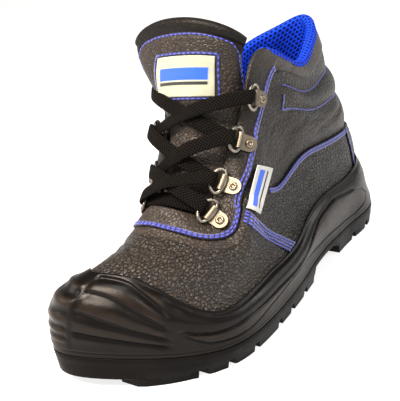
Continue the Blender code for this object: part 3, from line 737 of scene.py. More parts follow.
def metal_paint(name, colour, rough):
    p = Paint(name, colour, rough, metal=1.0)
    where = p.place()
    haze = p.noise(where, 220.0, 5.0, 0.7)
    scratches = p.noise(p.stretched(where, (1.0, 1.0, 14.0)), 420.0)
    tint = p.tones(haze, 0.35, 0.7, shade(colour, 0.72), colour)
    shine = p.spread(haze, 0.3, 0.7, rough - 0.08, rough + 0.14)
    return p.finish(tint, shine, p.bump(scratches, 0.00008, 0.5))


def felt_paint():
    p = Paint("insole_felt", (0.05, 0.05, 0.055), 0.95, sheen=0.3, specular=0.2)
    fibre = p.noise(p.place(), 1800.0, 4.0, 0.7)
    tint = p.tones(fibre, 0.3, 0.7, (0.03, 0.03, 0.034), (0.075, 0.075, 0.08))
    return p.finish(tint, None, p.bump(fibre, 0.0004, 0.8))


def label_paint(name, ground, band, line):
    """Woven label with a plain blue band and a thin dark line: middle and half width of each."""
    p = Paint(name, ground, 0.7, sheen=0.2, specular=0.3)
    split = p.node("ShaderNodeSeparateXYZ", {0: p.cloth()})
    weave = p.times(p.wave(split.outputs[1], LABEL_RIB), p.wave(split.outputs[0], LABEL_YARN))
    weave = p.plus(weave, p.noise(p.place(), 900.0))
    colour = p.tones(p.noise(p.place(), 140.0, 5.0), 0.4, 0.8, ground, shade(ground, 0.86))
    for (middle, half), tint in ((band, (0.015, 0.10, 0.62)), (line, (0.018, 0.018, 0.022))):
        off = p.math("ABSOLUTE", p.minus(p.mask("across"), middle))
        share = p.times(p.math("LESS_THAN", off, half), p.mask("inside"))
        colour = p.blend(share, colour, tint)
    return p.finish(colour, None, p.bump(weave, 0.00012, 0.7))


# Places of the upper's columns
COLUMNS = np.arange(0, 2, 2 / 440)


def upper_rows(places):
    """Levels of the leather's rows, so that rows follow its cut edges."""
    top = quarter_levels(places)
    face = facing_levels(places)
    back = smooth(0.62, 0.72, side_of(places))
    seams = []
    for share, level in ((0.60, 5.0), (0.82, 5.4)):
        seam = top + 0.03 + share * (face - top - 0.05)
        seams.append(seam + (level - seam) * back)
    marks = [0 * top, guard_levels(places), top - 0.012, top + 0.012, *seams, face - 0.012, face + 0.012,
             0 * top + TOP_EDGE]
    rows = []
    for low, high, count in zip(marks, marks[1:], (8, 40, 2, 18, 8, 6, 2, 12)):
        rows += [low + (high - low) * i / count for i in range(count)]
    return rows + [marks[-1]]


def lip(places, lifts, depths, turns):
    """Rows over the top edge from the outer to the inner side."""
    spot, out = skins(places, TOP_EDGE)
    rise = unit(spot - skins(places, TOP_EDGE - 0.12)[0])
    first = spot + out * lifts[:, None]
    last = spot - out * np.reshape(depths, (-1, 1))
    centre = (first + last) / 2
    reach = 0.85 * np.linalg.norm(first - last, axis=1, keepdims=True) / 2
    return [centre + (first - centre) * math.cos(t) + rise * reach * math.sin(t) - MIDDLE
            for t in turns]


def build_leather():
    places = COLUMNS
    side = side_of(places)
    face = facing_levels(places)
    top = quarter_levels(places)
    flank = smooth(0.36, 0.48, side)
    points = []
    grain = []
    edge = []
    for levels in upper_rows(places):
        # The quarter is of a darker, greyer leather than the vamp
        quarter = smooth(-0.05, 0.05, levels - seam_line(side)) * (side > SEAM_PLACE)
        pebbled = np.where(levels < top, np.where(side > 0.93, 0.2, 1.0), 0.42) * (1 + 0.7 * quarter)
        # Dark lines along the facing's step, the quarter's top edge and the back seam: partly the cut
        # edges' own colour, partly painted shade under the steps. The facing's flank is darker leather.
        cut_edge_shade_and_dark_panels = trough(levels, face, 0.02) * (1 - smooth(*FACING_END, side))
        cut_edge_shade_and_dark_panels += trough(levels, top, 0.02) * smooth(*QUARTER_START, side)
        cut_edge_shade_and_dark_panels += trough(side, BACK_SEAM, SEAM_WIDTH) * (levels < top) + 0.42 * quarter * (levels < face)
        cut_edge_shade_and_dark_panels += 0.55 * flank * (1 - smooth(0.66, 0.72, side)) * (levels > face)
        points.append(upper_surface(places, levels)[0])
        grain.append(np.where(levels < face, pebbled, 0.35 - 0.2 * flank))
        edge.append(np.clip(cut_edge_shade_and_dark_panels * 1.2, 0, 1))
    thick = 0.0018
    turned = lip(places, reliefs(places, TOP_BAND), thick, np.linspace(0.3, math.pi, 6))
    turned += [inset(places, level, thick) for level in (5.85, 5.6)]
    points += turned
    grain += [np.full(len(places), 0.2)] * len(turned)
    edge += [np.full(len(places), 0.5)] * len(turned)
    faces = grid_faces(len(points), len(places))
    thing = make_mesh("upper_leather", points, faces, masks={"grain": grain, "edge": edge})
    return dress(thing, leather_paint(), "leather", "upper")


def build_lining():
    places = COLUMNS[::2]
    side = side_of(places)
    collar = smooth(0.685, 0.715, side)
    lifts = reliefs(places, TOP_BAND) * collar + 0.0004 * collar - 0.0010 * (1 - collar)
    points = [inset(places, np.where(collar > 0.5, TOP_BAND, TOP_EDGE), 0.0003 - lifts)]
    points += lip(places, lifts, 0.0022 + 0.0012 * collar, np.linspace(0.0, math.pi, 12))
    lower = [np.zeros(len(places))] * len(points)
    for level in [*np.linspace(5.9, 3.5, 44), *np.linspace(3.3, 0.0, 14)]:
        thick = 0.0021 + 0.0012 * collar * smooth(4.2, 5.0, level)
        puff = 0.0022 * collar * math.sin(math.pi * np.clip((level - 4.6) / 1.5, 0, 1))
        folds = 0.0004 * np.sin(places * 70.0) * collar * smooth(4.4, 5.2, level)
        points.append(inset(places, level, thick + puff + folds))
        lower.append(np.full(len(places), 1 - smooth(3.3, 3.7, level)))
    lower = np.maximum(lower, 1 - smooth(0.60, 0.68, side))
    points = np.array(points)
    # The cloth is measured round the collar and down from its top edge
    u = run_along(points[20])
    drop = np.cumsum(np.linalg.norm(np.diff(points, axis=0), axis=2), axis=0)
    drop = np.concatenate([np.zeros((1, len(places))), drop])
    uv = np.stack([np.broadcast_to(u, drop.shape), drop], -1)
    faces = grid_faces(len(points), len(places))
    thing = make_mesh("collar_lining", points, faces, uv=uv, masks={"lower": lower})
    return dress(thing, mesh_paint(), None)


def build_footbed():
    count = 120
    half = np.linspace(0, 1, count)
    edges = []
    for places in (half, 2 - half):
        spot, out = skins(places, 0)
        edges.append(spot - unit(out * (1, 1, 0)) * 0.0030 - MIDDLE)
    outer, inner = edges
    tops = []
    bottoms = []
    for share in np.linspace(0, 1, 17):
        row = inner + (outer - inner) * share
        dish = 0.0011 * (2 * share - 1) ** 4 - 0.0004
        tops.append(row + (0, 0, INSOLE_THICKNESS + dish))
        bottoms.append(row + (0, 0, 0.0006))
    rings = tops + bottoms[::-1]
    faces = grid_faces(len(rings), count, closed=False)
    last = (len(rings) - 1) * count
    faces += [(last + c, last + c + 1, c + 1, c) for c in range(count - 1)]
    return dress(make_mesh("footbed", rings, faces), felt_paint(), "insole", "insole")


# Grooves of the sole's side: place, share of the height from rim to parting
GROOVE_HIGH = ((0.18, 0.50), (0.195, 0.50), (0.245, 0.545), (0.305, 0.51), (0.335, 0.46), (0.42, 0.45),
               (0.52, 0.46), (0.60, 0.40), (0.67, 0.20), (0.76, 0.17), (0.85, 0.28), (0.885, 0.46),
               (0.90, 0.62))
GROOVE_LOW = ((0.18, 0.50), (0.195, 0.53), (0.21, 0.617), (0.24, 0.77), (0.29, 0.80), (0.34, 0.765),
              (0.405, 0.65), (0.50, 0.56), (0.58, 0.60), (0.66, 0.74), (0.77, 0.82), (0.85, 0.86),
              (0.885, 0.80), (0.90, 0.62))
# Flutes of the toe guard: share at the front panel, further share at the end, power of the curve
FLUTES = ((0.04, 0.22, 3.0), (0.20, 0.25, 2.2), (0.36, 0.27, 1.4), (0.58, 0.19, 1.0))
FLUTE_DEPTH = 0.0016
FLUTE_FLANKS = (0.016, 0.060)
FLUTE_REACH = 0.160
# Front panel of the toe guard: middle place, half its width, height of panel and ribs, ribs
PANEL_MIDDLE = -0.033
PANEL_HALF = 0.052
PANEL_RISE = 0.0006
PANEL_RIBS = 6.5


def outlines(places):
    """Outer line of the sole seen from above."""
    return sole_line(places)[:, 0, :2]


def profile(along):
    """Heights of the parting, the tread's base and the ground."""
    table = np.array(PROFILE)
    return [np.interp(along / ALONG, table[:, 0], table[:, k]) * UP for k in (1, 2, 3)]


def hump(low, rise, fall, high, value):
    """Soft step up from low to rise and down again from fall to high."""
    return smooth(low, rise, value) * (1 - smooth(fall, high, value))


def guard_relief(places, share):
    """Flutes, panel ribs and grooves of the moulded side, in metres."""
    side = side_of(places)
    off = np.abs(signed(places) - PANEL_MIDDLE) - PANEL_HALF
    out = PANEL_RISE * (1 - smooth(-0.006, 0.006, off)) * hump(0.06, 0.32, 0.90, 0.94, share)
    ribs = PANEL_RISE * math.cos(share * PANEL_RIBS * math.tau) * hump(0.08, 0.18, 0.72, 0.84, share)
    out = out + ribs * (1 - smooth(-0.012, -0.002, off))
    along = np.clip(off / FLUTE_REACH, 0, 1.3)
    fade = hump(0.0, 0.10, 0.90, 1.05, along)
    for start, more, power in FLUTES:
        line = start + more * along ** power
        out = out - FLUTE_DEPTH * fade * trough(share, line, np.where(share < line, *FLUTE_FLANKS))
    out = out + 0.0007 * fade * hump(0.02, 0.10, 0.70, 0.85, share)
    upper = read_table(GROOVE_HIGH, places)
    lower = read_table(GROOVE_LOW, places)
    grooves = 0.0010 * trough(share, upper, 0.028) + 0.0009 * trough(share, lower, 0.028)
    swell = 0.0007 * smooth(-0.02, 0.05, share - upper) * smooth(-0.02, 0.05, lower - share)
    out = out + hump(0.185, 0.205, 0.895, 0.905, side) * (swell - grooves)
    return out - 0.00035 * trough(share, 0.925, 0.012)


def guard_points(places, share):
    """Outer face of the moulded side: share 0 at the guard's rim, 1 at the parting."""
    spot, out = skins(places, guard_levels(places) * (1 - share))
    line = outlines(places)
    thick = GAP + GUARD_EDGE * (0.45 + 0.55 * smooth(0, 0.15, share)) + 0.0022 * smooth(0, 0.35, share)
    made = spot + out * thick
    made[:, :2] += (line - made[:, :2]) * smooth(0.15, 0.95, share)
    sink = skins(places, 0)[0][:, 2] - profile(line[:, 1])[0] - GAP
    made[:, 2] = spot[:, 2] + out[:, 2] * thick * (1 - share) - sink * share ** 1.5
    return made + out * guard_relief(places, share)[:, None] - MIDDLE


def build_side():
    places = np.arange(0, 2, 2 / 600)
    rim = guard_levels(places)
    rows = [inset(places, rim, 0.0003)]
    edge = guard_points(places, 0.012)
    rise = unit(inset(places, rim, 0) - inset(places, rim - 0.1, 0)) * 0.0011
    centre = (inset(places, rim, -GAP) + edge) / 2
    for turn in np.linspace(math.pi, 0, 6)[:-1]:
        rows.append(centre + (edge - centre) * math.cos(turn) + rise * math.sin(turn))
    painted_crest_highlight = [0 * rim] * len(rows)
    for share in np.linspace(0.012, 1.0, 104):
        rows.append(guard_points(places, share))
        # The raised crests of the relief are marked for a painted highlight.
        painted_crest_highlight.append(smooth(0.0003, 0.0010, guard_relief(places, share)))
    line = outlines(places)
    flat = unit(skins(places, 0)[1] * (1, 1, 0))
    rows.append(np.column_stack([line, profile(line[:, 1])[0] + GAP]) - flat * 0.0030 - MIDDLE)
    painted_crest_highlight.append(0 * rim)
    thing = make_mesh("sole_side", rows, grid_faces(len(rows), len(places)), masks={"painted_crest_highlight": painted_crest_highlight})
    paint = rubber_paint("side_rubber", (0.0024, 0.0017, 0.0013), 0.30, 0.5, 0.16)
    return dress(thing, paint, "sidewall", "midsole")


def place_at(along):
    """Place of the outer side where the sole's outline reaches along."""
    low = 0.0
    high = 1.0
    for _ in range(40):
        middle = (low + high) / 2
        if outlines([middle])[0, 1] < along:
            low = middle
        else:
            high = middle
    return (low + high) / 2


# Tread's columns before its first block, at the waist and after its last block
TOE_MARKS = (-135.0, -134.6, -133.6, -132, -129.5, -126, -123)
WAIST_START = 28.5
WAIST_MARKS = np.linspace(32, 68, 13)
HEEL_MARKS = (142, 145, 148, 151, 153.5, 155, 155.7, 156)
# Rows down the outsole's edge: push outwards, share of the way from base to parting, further height
EDGE_ROWS = ((-0.0030, 1, 0), (-0.0006, 1, 0), (0.0001, 1, -0.0004), (0.0003, 1, -0.0012),
             (0.0003, 1, -0.0026), (0.0002, 1, -0.0031), (0.0002, 1, -0.0037), (0.0, 1, -0.0042),
             (-0.0002, 0.5, 0), (-0.0008, 0, 0.0004), (-0.0012, 0, 0))


def build_tread():
    """Outsole with its lug blocks, on finer columns than the solid's."""
    marks = list(TOE_MARKS)
    spans = []
    for first, last in BLOCKS:
        start = len(marks)
        marks.extend(np.linspace(first, last, max(3, round((last - first) / 3)) + 1))
        spans.append((start, len(marks) - 1))
        if last == WAIST_START:
            marks.extend(WAIST_MARKS)
    marks.extend(HEEL_MARKS)
    ring = [0.0] + [place_at(m * ALONG) for m in marks[1:-1]] + [1.0]
    half = len(ring) - 1
    ring = np.array(ring + [2 - p for p in reversed(ring[1:-1])])
    count = len(ring)
    line = outlines(ring)
    flat = unit(skins(ring, 0)[1][:, :2])
    part, base, _ = profile(line[:, 1])
    rows = [np.column_stack([line + flat * push, np.maximum(base + (part - base) * share + more, base)])
            for push, share, more in EDGE_ROWS]
    verts = [tuple(v) for row in rows for v in row]
    faces = grid_faces(len(rows), count, flip=True)
    start = (len(rows) - 1) * count
    grid = {}
    for i in range(half + 1):
        a = start + i
        b = start + (count - i) % count
        for j, share in enumerate(ACROSS):
            if a == b or share == 1:
                grid[i, j] = a
            elif share == 0:
                grid[i, j] = b
            else:
                grid[i, j] = len(verts)
                first, last = np.array(verts[b]), np.array(verts[a])
                verts.append(tuple(first + (last - first) * share))
    blocked = set()
    for first, last in spans:
        for j in (0, 2, 4):
            lowered = {}
            for i in range(first, last + 1):
                for k in (j, j + 1):
                    x, y, z = verts[grid[i, k]]
                    y += LUG_TAPER * ((i == first) - (i == last))
                    other = verts[grid[i, j if k > j else j + 1]]
                    x += LUG_TAPER * (1 if other[0] > x else -1)
                    lowered[i, k] = len(verts)
                    verts.append((x, y, float(profile(y)[2])))
            for i in range(first, last):
                blocked.add((i, j))
                corners = ((i, j), (i + 1, j), (i + 1, j + 1), (i, j + 1))
                faces.append(tuple(lowered[corner] for corner in corners))
                for k in (j, j + 1):
                    faces.append((grid[i, k], grid[i + 1, k], lowered[i + 1, k], lowered[i, k]))
            for i in (first, last):
                faces.append((grid[i, j], grid[i, j + 1], lowered[i, j + 1], lowered[i, j]))
    for i in range(half):
        for j in range(len(ACROSS) - 1):
            if (i, j) in blocked:
                continue
            face = dict.fromkeys((grid[i, j], grid[i + 1, j], grid[i + 1, j + 1], grid[i, j + 1]))
            if len(face) > 2:
                faces.append(tuple(face))
    thing = make_mesh("tread", np.array(verts) - MIDDLE, faces)
    face_out(thing)
    round_off(thing, 0.0005, 40)
    paint = rubber_paint("tread_rubber", (0.0026, 0.0021, 0.0019), 0.44, 0.8, 0.07)
    return dress(thing, paint, "outsole", "outsole")


# The tongue's cross section is this much of an arc on either side
TONGUE_TURN = math.radians(78)
# Seam of the tongue: share across, row; where its top arc starts and ends
TONGUE_ARC = ((-0.93, 5.2), (-0.95, 5.9), (-0.90, 6.30), (-0.66, 6.46), (-0.38, 6.52), (0.0, 6.57),
              (0.30, 6.60), (0.56, 6.60), (0.78, 6.56), (0.92, 6.30), (0.95, 5.8), (0.93, 5.2))
TOP_ARC = slice(2, 10)
# Corners of the tongue's label: row, share; inner foot, outer foot, inner top, outer top
LABEL = ((4.92, -0.66), (5.02, 0.47), (5.97, -0.36), (6.08, 0.52))

tongue_rows = curve(np.arange(len(TONGUE)), np.array(TONGUE, float))


def tongue_points(rows, shares):
    """Points on the tongue's middle surface."""
    rows, shares = np.broadcast_arrays(rows, shares)
    data = tongue_rows(rows)
    turn = np.abs(shares) * TONGUE_TURN
    reach = np.sin(turn) / math.sin(TONGUE_TURN)
    drop = (1 - np.cos(turn)) / (1 - math.cos(TONGUE_TURN))
    centre = np.stack([np.full(rows.shape, -1.0), data[..., 0], data[..., 1]], -1)
    edge = np.where(shares[..., None] > 0, data[..., 2:5], data[..., 5:8])
    return (centre + (edge - centre) * np.stack([reach, drop, drop], -1)) * (SIDE, ALONG, UP)


def arc_row(shares):
    return np.interp(shares, *np.transpose(TONGUE_ARC[TOP_ARC]))


def tongue_depths(rows, shares):
    """Half the tongue's thickness with its padding between the seams."""
    wide = np.abs(shares)
    out = (0.0012 + 0.0014 * smooth(2.0, 5.0, rows)) * (1 - 0.45 * wide ** 3)
    out = out - 0.0009 * trough(rows, arc_row(shares), 0.05) * (wide < 0.93)
    out = out - 0.0007 * trough(wide, 0.94, 0.025) * hump(4.6, 5.2, 6.2, 6.35, rows)
    out = out + 0.0012 * smooth(6.62, 6.78, rows)
    return out + 0.00035 * np.sin(rows * 17 + 2.2 * shares) * hump(3.4, 4.2, 4.7, 5.0, rows)


def tongue_surface(rows, shares, lift=0.0):
    """Points on the tongue's front and their directions."""
    step = 0.03
    run = tongue_points(rows + step, shares) - tongue_points(rows - step, shares)
    over = tongue_points(rows, shares + step) - tongue_points(rows, shares - step)
    out = unit(np.cross(over, run))
    depth = (tongue_depths(rows, shares) + lift)[..., None]
    return tongue_points(rows, shares) + out * depth - MIDDLE, out


def rounded(values, start, end):
    """Share of the thickness left where an edge closes over a round from start to end."""
    return np.sqrt(np.clip(1 - np.clip((values - start) / (end - start), 0, 1) ** 2, 0.02, 1))


def build_tongue():
    rows = np.concatenate([np.linspace(0, 5, 90)[:-1], np.linspace(5, 7.0, 70)])[:, None]
    shares = np.linspace(-1, 1, 95)
    points = tongue_points(rows, shares)
    out = unit(np.cross(np.gradient(points, axis=1), np.gradient(points, axis=0)))
    depth = tongue_depths(rows, shares) * rounded(np.abs(shares), 0.955, 1) * rounded(rows, 6.86, 7)
    front = points + out * depth[..., None] - MIDDLE
    back = points - out * depth[..., None] - MIDDLE
    rings = np.concatenate([front, back[:, ::-1]], axis=1)
    count = rings.shape[1]
    faces = grid_faces(len(rows), count)
    across = len(shares)
    for start, turn in ((0, 1), ((len(rows) - 1) * count, -1)):
        for c in range(across - 1):
            face = (start + c, start + count - 1 - c, start + count - 2 - c, start + c + 1)
            faces.append(face[::turn])
    # The band above the seam is darker and smoother
    dark = np.zeros((len(rows), count))
    dark[:, :across] = smooth(0.02, 0.05, rows - arc_row(shares))
    masks = {"grain": 0.45 - 0.35 * dark, "edge": dark * 0.85}
    thing = make_mesh("tongue_leather", rings, faces, masks=masks)
    dress(thing, leather_paint("tongue_skin"), "leather", "tongue")


def thin_sheet(name, grid, out, thick, size, paint, node):
    """Closed sheet from a grid of points; size is its cloth's, across and along the rows."""
    rows, across = grid.shape[:2]
    faces = []
    count = rows * across
    for r in range(rows - 1):
        for c in range(across - 1):
            a = r * across + c
            faces.append((a + count, a + count + 1, a + count + across + 1, a + count + across))
            faces.append((a, a + across, a + across + 1, a + 1))
    index = np.arange(count).reshape(rows, across)
    ring = [*index[0], *index[1:, -1], *index[-1, -2::-1], *index[-2:0:-1, 0]]
    for a, b in zip(ring, ring[1:] + ring[:1]):
        faces.append((a, b, b + count, a + count))
    v, u = np.meshgrid(np.linspace(0, 1, rows), np.linspace(0, 1, across), indexing="ij")
    thing = make_mesh(name, [grid, grid + out * thick], faces, uv=[np.stack([u, v], -1) * size] * 2,
                      masks={"across": [u, u], "inside": [hump(0.08, 0.10, 0.90, 0.92, v)] * 2})
    face_out(thing)
    return dress(thing, paint, "label", node)


def patch(corners, rows, across, margin=0.0):
    """Grid over four corners: left and right of its first row, then of its last row."""
    first_left, first_right, last_left, last_right = np.array(corners)
    down = np.linspace(-margin, 1 + margin, rows)[:, None, None]
    over = np.linspace(-margin, 1 + margin, across)[None, :, None]
    left = first_left + (last_left - first_left) * down
    right = first_right + (last_right - first_right) * down
    return left + (right - left) * over


# Corners of the side tag: place, level; front top, back top, front foot, back foot
TAG = ((0.548, 4.69), (0.617, 4.36), (0.431, 3.94), (0.466, 3.48))


def below(targets, lean, guess):
    """Places and levels of the leather that lies under the targets, looking along lean."""
    places, levels = guess.T
    for _ in range(8):
        spot = last_points(places, levels)
        miss = targets - spot
        run = (last_points(places + 0.002, levels) - spot) / 0.002
        rise = (last_points(places, levels + 0.01) - spot) / 0.01
        matrix = np.stack([run, rise, np.broadcast_to(lean, run.shape)], -1)
        step = np.linalg.solve(matrix, miss[..., None])[..., 0]
        places = places + step[:, 0]
        levels = levels + step[:, 1]
    return places, levels


def build_labels():
    where = patch(LABEL, 40, 60)
    sheet, out = tongue_surface(where[..., 0], where[..., 1], 0.0003)
    paint = label_paint("tongue_label", (0.42, 0.44, 0.34), (0.56, 0.15), (0.33, 0.04))
    sheet, out = sheet.transpose(1, 0, 2), out.transpose(1, 0, 2)
    thin_sheet("tongue_label", sheet, out, 0.0007, (0.028, 0.042), paint, "tongue_patch")
    # The side tag is a flat sheet between its corners, clear of the leather under it
    ends, lean = skins(*np.transpose(TAG))
    lean = unit(lean.sum(axis=0))
    shape = (40, 20)
    targets = patch(ends, *shape).reshape(-1, 3)
    spot = last_points(*below(targets, lean, patch(TAG, *shape).reshape(-1, 2)))
    rise = (targets + lean * 0.0016 - spot) @ lean
    spot = spot + lean * np.maximum(rise, 0.0014)[:, None] - MIDDLE
    paint = label_paint("side_label", (0.50, 0.52, 0.50), (0.38, 0.16), (0.72, 0.05))
    thin_sheet("side_label", spot.reshape(*shape, 3), lean, 0.0006, (0.016, 0.034), paint, "side_tag")


STITCH_PITCH = 0.0034
STITCH_LENGTH = 0.0024
STITCH_RADIUS = 0.00050
COLLAR_STITCH_RADIUS = 0.00046
# Section of the dark navy strip under a row of stitches, painted shade in their channel
STITCH_SHADE_SECTION = ((0.00100, -0.0003), (0.00075, 0.00018), (-0.00075, 0.00018), (-0.00100, -0.0003))
# A stitch along its length: share of its length, share of its radius that it rises
STITCH = np.array([(-0.5, -0.9), (-0.38, -0.05), (-0.15, 0.35),
                   (0.15, 0.35), (0.38, -0.05), (0.5, -0.9)])
# Stitches, and the strips of painted shade under them, as they are laid
STITCHES = []
STITCH_SHADE_STRIPS = []


def stitch_run(points, outs, radius=STITCH_RADIUS):
    """Stitches laid along a line of points."""
    run = run_along(points)
    count = max(2, int(run[-1] / STITCH_PITCH))
    at = np.linspace(0, run[-1], count * 2)
    spots = read_line(at, run, points)
    lean = unit(read_line(at, run, outs))
    # A dark strip under the stitches stands for the shade in their channel.
    STITCH_SHADE_STRIPS.append(sweep(spots, np.cross(lean, unit(np.gradient(spots, axis=0))), STITCH_SHADE_SECTION))
    section = [(math.cos(t) * radius, math.sin(t) * radius * 0.9) for t in np.arange(6) * math.tau / 6]
    for k in range(count):
        at = (k + 0.5) * run[-1] / count + STITCH[:, 0] * STITCH_LENGTH
        lean = unit(read_line(at, run, outs))
        path = read_line(at, run, points) + lean * STITCH[:, 1:] * radius
        STITCHES.append(sweep(path, np.cross(lean, unit(np.gradient(path, axis=0))), section))


def leather_line(table, radius=STITCH_RADIUS):
    """Stitches along a line of places and levels on the leather."""
    along = np.linspace(0, len(table) - 1, 200)
    stitch_run(*upper_surface(*read_line(along, np.arange(len(table)), np.array(table)).T), radius)


def beside(places, levels, offset):
    """Stitches beside a line on the leather, higher by an offset in metres."""
    step = 0.02
    rise = skins(places, levels + step)[0] - skins(places, levels - step)[0]
    stitch_run(*upper_surface(places, levels + offset * 2 * step / np.linalg.norm(rise, axis=1)))


# Middle of the side seam's four rows of stitches, and the places the rows lie to its sides
SIDE_SEAM = ((0.413, 3.90), (0.443, 3.38), (0.508, 2.61), (0.553, 1.97))
SEAM_ROWS = (-0.0125, -0.0045, 0.0045, 0.0125)


def build_stitches():
    for sign in (1, -1):
        side = np.linspace(0.0, 0.705, 260)
        for offset in (0.0019, 0.0042):
            beside(sign * side, facing_levels(side), offset)
        side = np.linspace(0.563, 0.905, 170)
        for offset in (-0.0018, -0.0041):
            beside(sign * side, quarter_levels(side), offset)
        for shift in SEAM_ROWS:
            leather_line([(sign * (p + shift), level) for p, level in SIDE_SEAM])
        for start, level in ((0.7135, 5.4), (0.691, 5.0)):
            leather_line([(sign * p, level) for p in np.linspace(start, 1.0, 12)], COLLAR_STITCH_RADIUS)
        leather_line([(sign * 0.691, 5.0), (sign * 0.7035, 5.24)], COLLAR_STITCH_RADIUS)
        for place in (0.900, 0.942):
            leather_line([(sign * place, level) for level in np.linspace(1.97, 3.95, 10)])
    knots = np.arange(len(TONGUE_ARC))
    share, row = read_line(np.linspace(0, knots[-1], 260), knots, np.array(TONGUE_ARC)).T
    stitch_run(*tongue_surface(row, share))
    border = patch(LABEL, 41, 41, 0.055)
    for edge in (border[0], border[-1], border[:, 0], border[:, -1]):
        stitch_run(*tongue_surface(edge[:, 0], edge[:, 1]))
    # The navy strips are painted shade under the stitch rows.
    for name, pieces, paint, colour in (
            ("stitches", STITCHES, "blue_thread", (0.06, 0.085, 0.58)),
            ("stitch_shade_strips", STITCH_SHADE_STRIPS, "stitch_shade_navy", (0.0018, 0.0026, 0.075))):
        dress(make_mesh(name, *join(pieces)), thread_paint(paint, colour), None)


# Where a ring's straight bar lies on its clip: ahead of the rivet and above the leather
BAR_AHEAD = CLIP_LENGTH - CLIP_WIDTH / 2
BAR_HEIGHT = CLIP_LIFT + CLIP_THICKNESS + GAP + WIRE


def loop_frame(index, outer):
    """Seat of a lace loop: point, directions to the throat, sideways and out."""
    place, level, _ = LOOPS[index]
    if not outer:
        place = 2 - place
    spot, out = (values[0] for values in skins(place, level))
    ends, _ = skins([place + 0.01, place - 0.01], 6)
    ahead = unit(np.cross(out, ends[0] - ends[1]))
    aside = np.cross(out, ahead)
    # The plate rests on the highest leather under it
    shifts, lowers = np.meshgrid((-0.06, -0.04, -0.02, 0, 0.02, 0.04, 0.06),
                                 (-0.7, -0.4, -0.2, 0, 0.2, 0.4, 0.6, 0.8, 1.0), indexing="ij")
    places = place + shifts.ravel()
    levels = np.minimum(level + lowers.ravel(), 6.0)
    near, lean = skins(places, levels)
    near = near + lean * reliefs(places, np.minimum(levels, TOP_BAND))[:, None] - spot
    forward = near @ ahead
    inside = (forward > -CLIP_WIDTH / 2 - 0.001) & (forward < BAR_AHEAD + 0.003)
    inside &= np.abs(near @ aside) < CLIP_WIDTH / 2 + 0.001
    rise = max([float(reliefs(np.array([place]), level)[0]), *(near @ out)[inside]])
    return spot + out * rise - MIDDLE, ahead, aside, out


def seat(frame, ahead, aside, out):
    return frame[0] + frame[1] * ahead + frame[2] * aside + frame[3] * out


def build_clip(mark, frame, paint):
    """Plate with a rounded tail that curls round the ring's straight bar."""
    half = CLIP_WIDTH / 2
    middle = CLIP_LIFT + CLIP_THICKNESS / 2
    stations = []
    for turn in np.linspace(-88, 0, 12):
        a = math.radians(turn)
        stations.append((half * math.sin(a), middle, 0.0, 1.0, half * max(math.cos(a), 0.12)))
    for share in (0.35, 0.7, 1.0):
        stations.append((BAR_AHEAD * share, middle, 0.0, 1.0, half))
    bend = WIRE + GAP + CLIP_THICKNESS / 2
    for turn in np.linspace(12, 235, 16):
        a = math.radians(turn)
        stations.append((BAR_AHEAD + bend * math.sin(a), BAR_HEIGHT - bend * math.cos(a), -math.sin(a),
                         math.cos(a), half * (1 - 0.05 * smooth(60, 200, turn))))
    verts = []
    for ahead, height, lean, rise, width in stations:
        for across, up in ((1, 1), (-1, 1), (-1, -1), (1, -1)):
            grow = up * CLIP_THICKNESS / 2
            verts.append(seat(frame, ahead + lean * grow, across * width, height + rise * grow))
    faces = grid_faces(len(stations), 4)
    end = 4 * (len(stations) - 1)
    faces += [(3, 2, 1, 0), (end, end + 1, end + 2, end + 3)]
    thing = make_mesh("clip_plate_" + mark, np.array(verts), faces)
    round_off(thing, 0.00025, 50)
    return dress(thing, paint, "metal", "lace_clip_" + mark)


# Section of a hollow rivet: radius, height over the plate
RIVET = ((0.0001, 0.0003), (0.0009, 0.0003), (0.0011, 0.0007), (0.0013, 0.0013), (0.0017, 0.0016),
         (0.0022, 0.0014), (0.0026, 0.0009), (0.0028, 0.0003), (0.0028, 0.0001))


def build_rivet(mark, frame, paint):
    """Hollow rivet: a rounded rim round a sunk middle."""
    count = 28
    foot = CLIP_LIFT + CLIP_THICKNESS
    verts = [seat(frame, radius * math.cos(t), radius * math.sin(t), foot + height)
             for radius, height in RIVET for t in np.arange(count) * math.tau / count]
    faces = grid_faces(len(RIVET), count) + [tuple(range(count - 1, -1, -1))]
    thing = make_mesh("rivet_head_" + mark, verts, faces)
    face_out(thing)
    return dress(thing, paint, "metal", "rivet_" + mark)


def build_ring(mark, frame, tilt, paint):
    points = [seat(frame, BAR_AHEAD + share * RING_REACH * math.cos(tilt), side * RING_WIDTH / 2,
                   BAR_HEIGHT + share * RING_REACH * math.sin(tilt)) for share, side in BOW]
    points = np.array(points + points[:1])
    knots = run_along(points)
    path = curve(knots, points, True)(np.linspace(0, knots[-1], 72, endpoint=False))
    axis = unit(np.cross(points[1] - points[0], points[5] - points[0]))
    section = [(math.cos(t) * WIRE, math.sin(t) * WIRE) for t in np.arange(12) * math.tau / 12]
    verts, faces = sweep(path, np.broadcast_to(axis, path.shape), section, True)
    thing = make_mesh("wire_ring_" + mark, verts, faces)
    return dress(thing, paint, "metal", "lace_ring_" + mark)


def build_loops():
    plate = metal_paint("nickel_plate", (0.19, 0.165, 0.125), 0.40)
    rivet = metal_paint("nickel_rivet", (0.29, 0.25, 0.185), 0.30)
    wire = metal_paint("nickel_wire", (0.30, 0.275, 0.235), 0.26)
    for side, outer in (("outer", True), ("inner", False)):
        for index, (_, _, tilt) in enumerate(LOOPS):
            seat_here = loop_frame(index, outer)
            mark = "%s_%d" % (side, index + 1)
            build_clip(mark, seat_here, plate)
            build_rivet(mark, seat_here, rivet)
            build_ring(mark, seat_here, math.radians(tilt), wire)


BRAID_WIDTH = 0.0090
BRAID_THICKNESS = 0.0023
BRAID_STEP = 0.0011
# How much further out a lace runs where it crosses over the other, and where it crosses under
OVER = 0.0012
UNDER = -0.0010


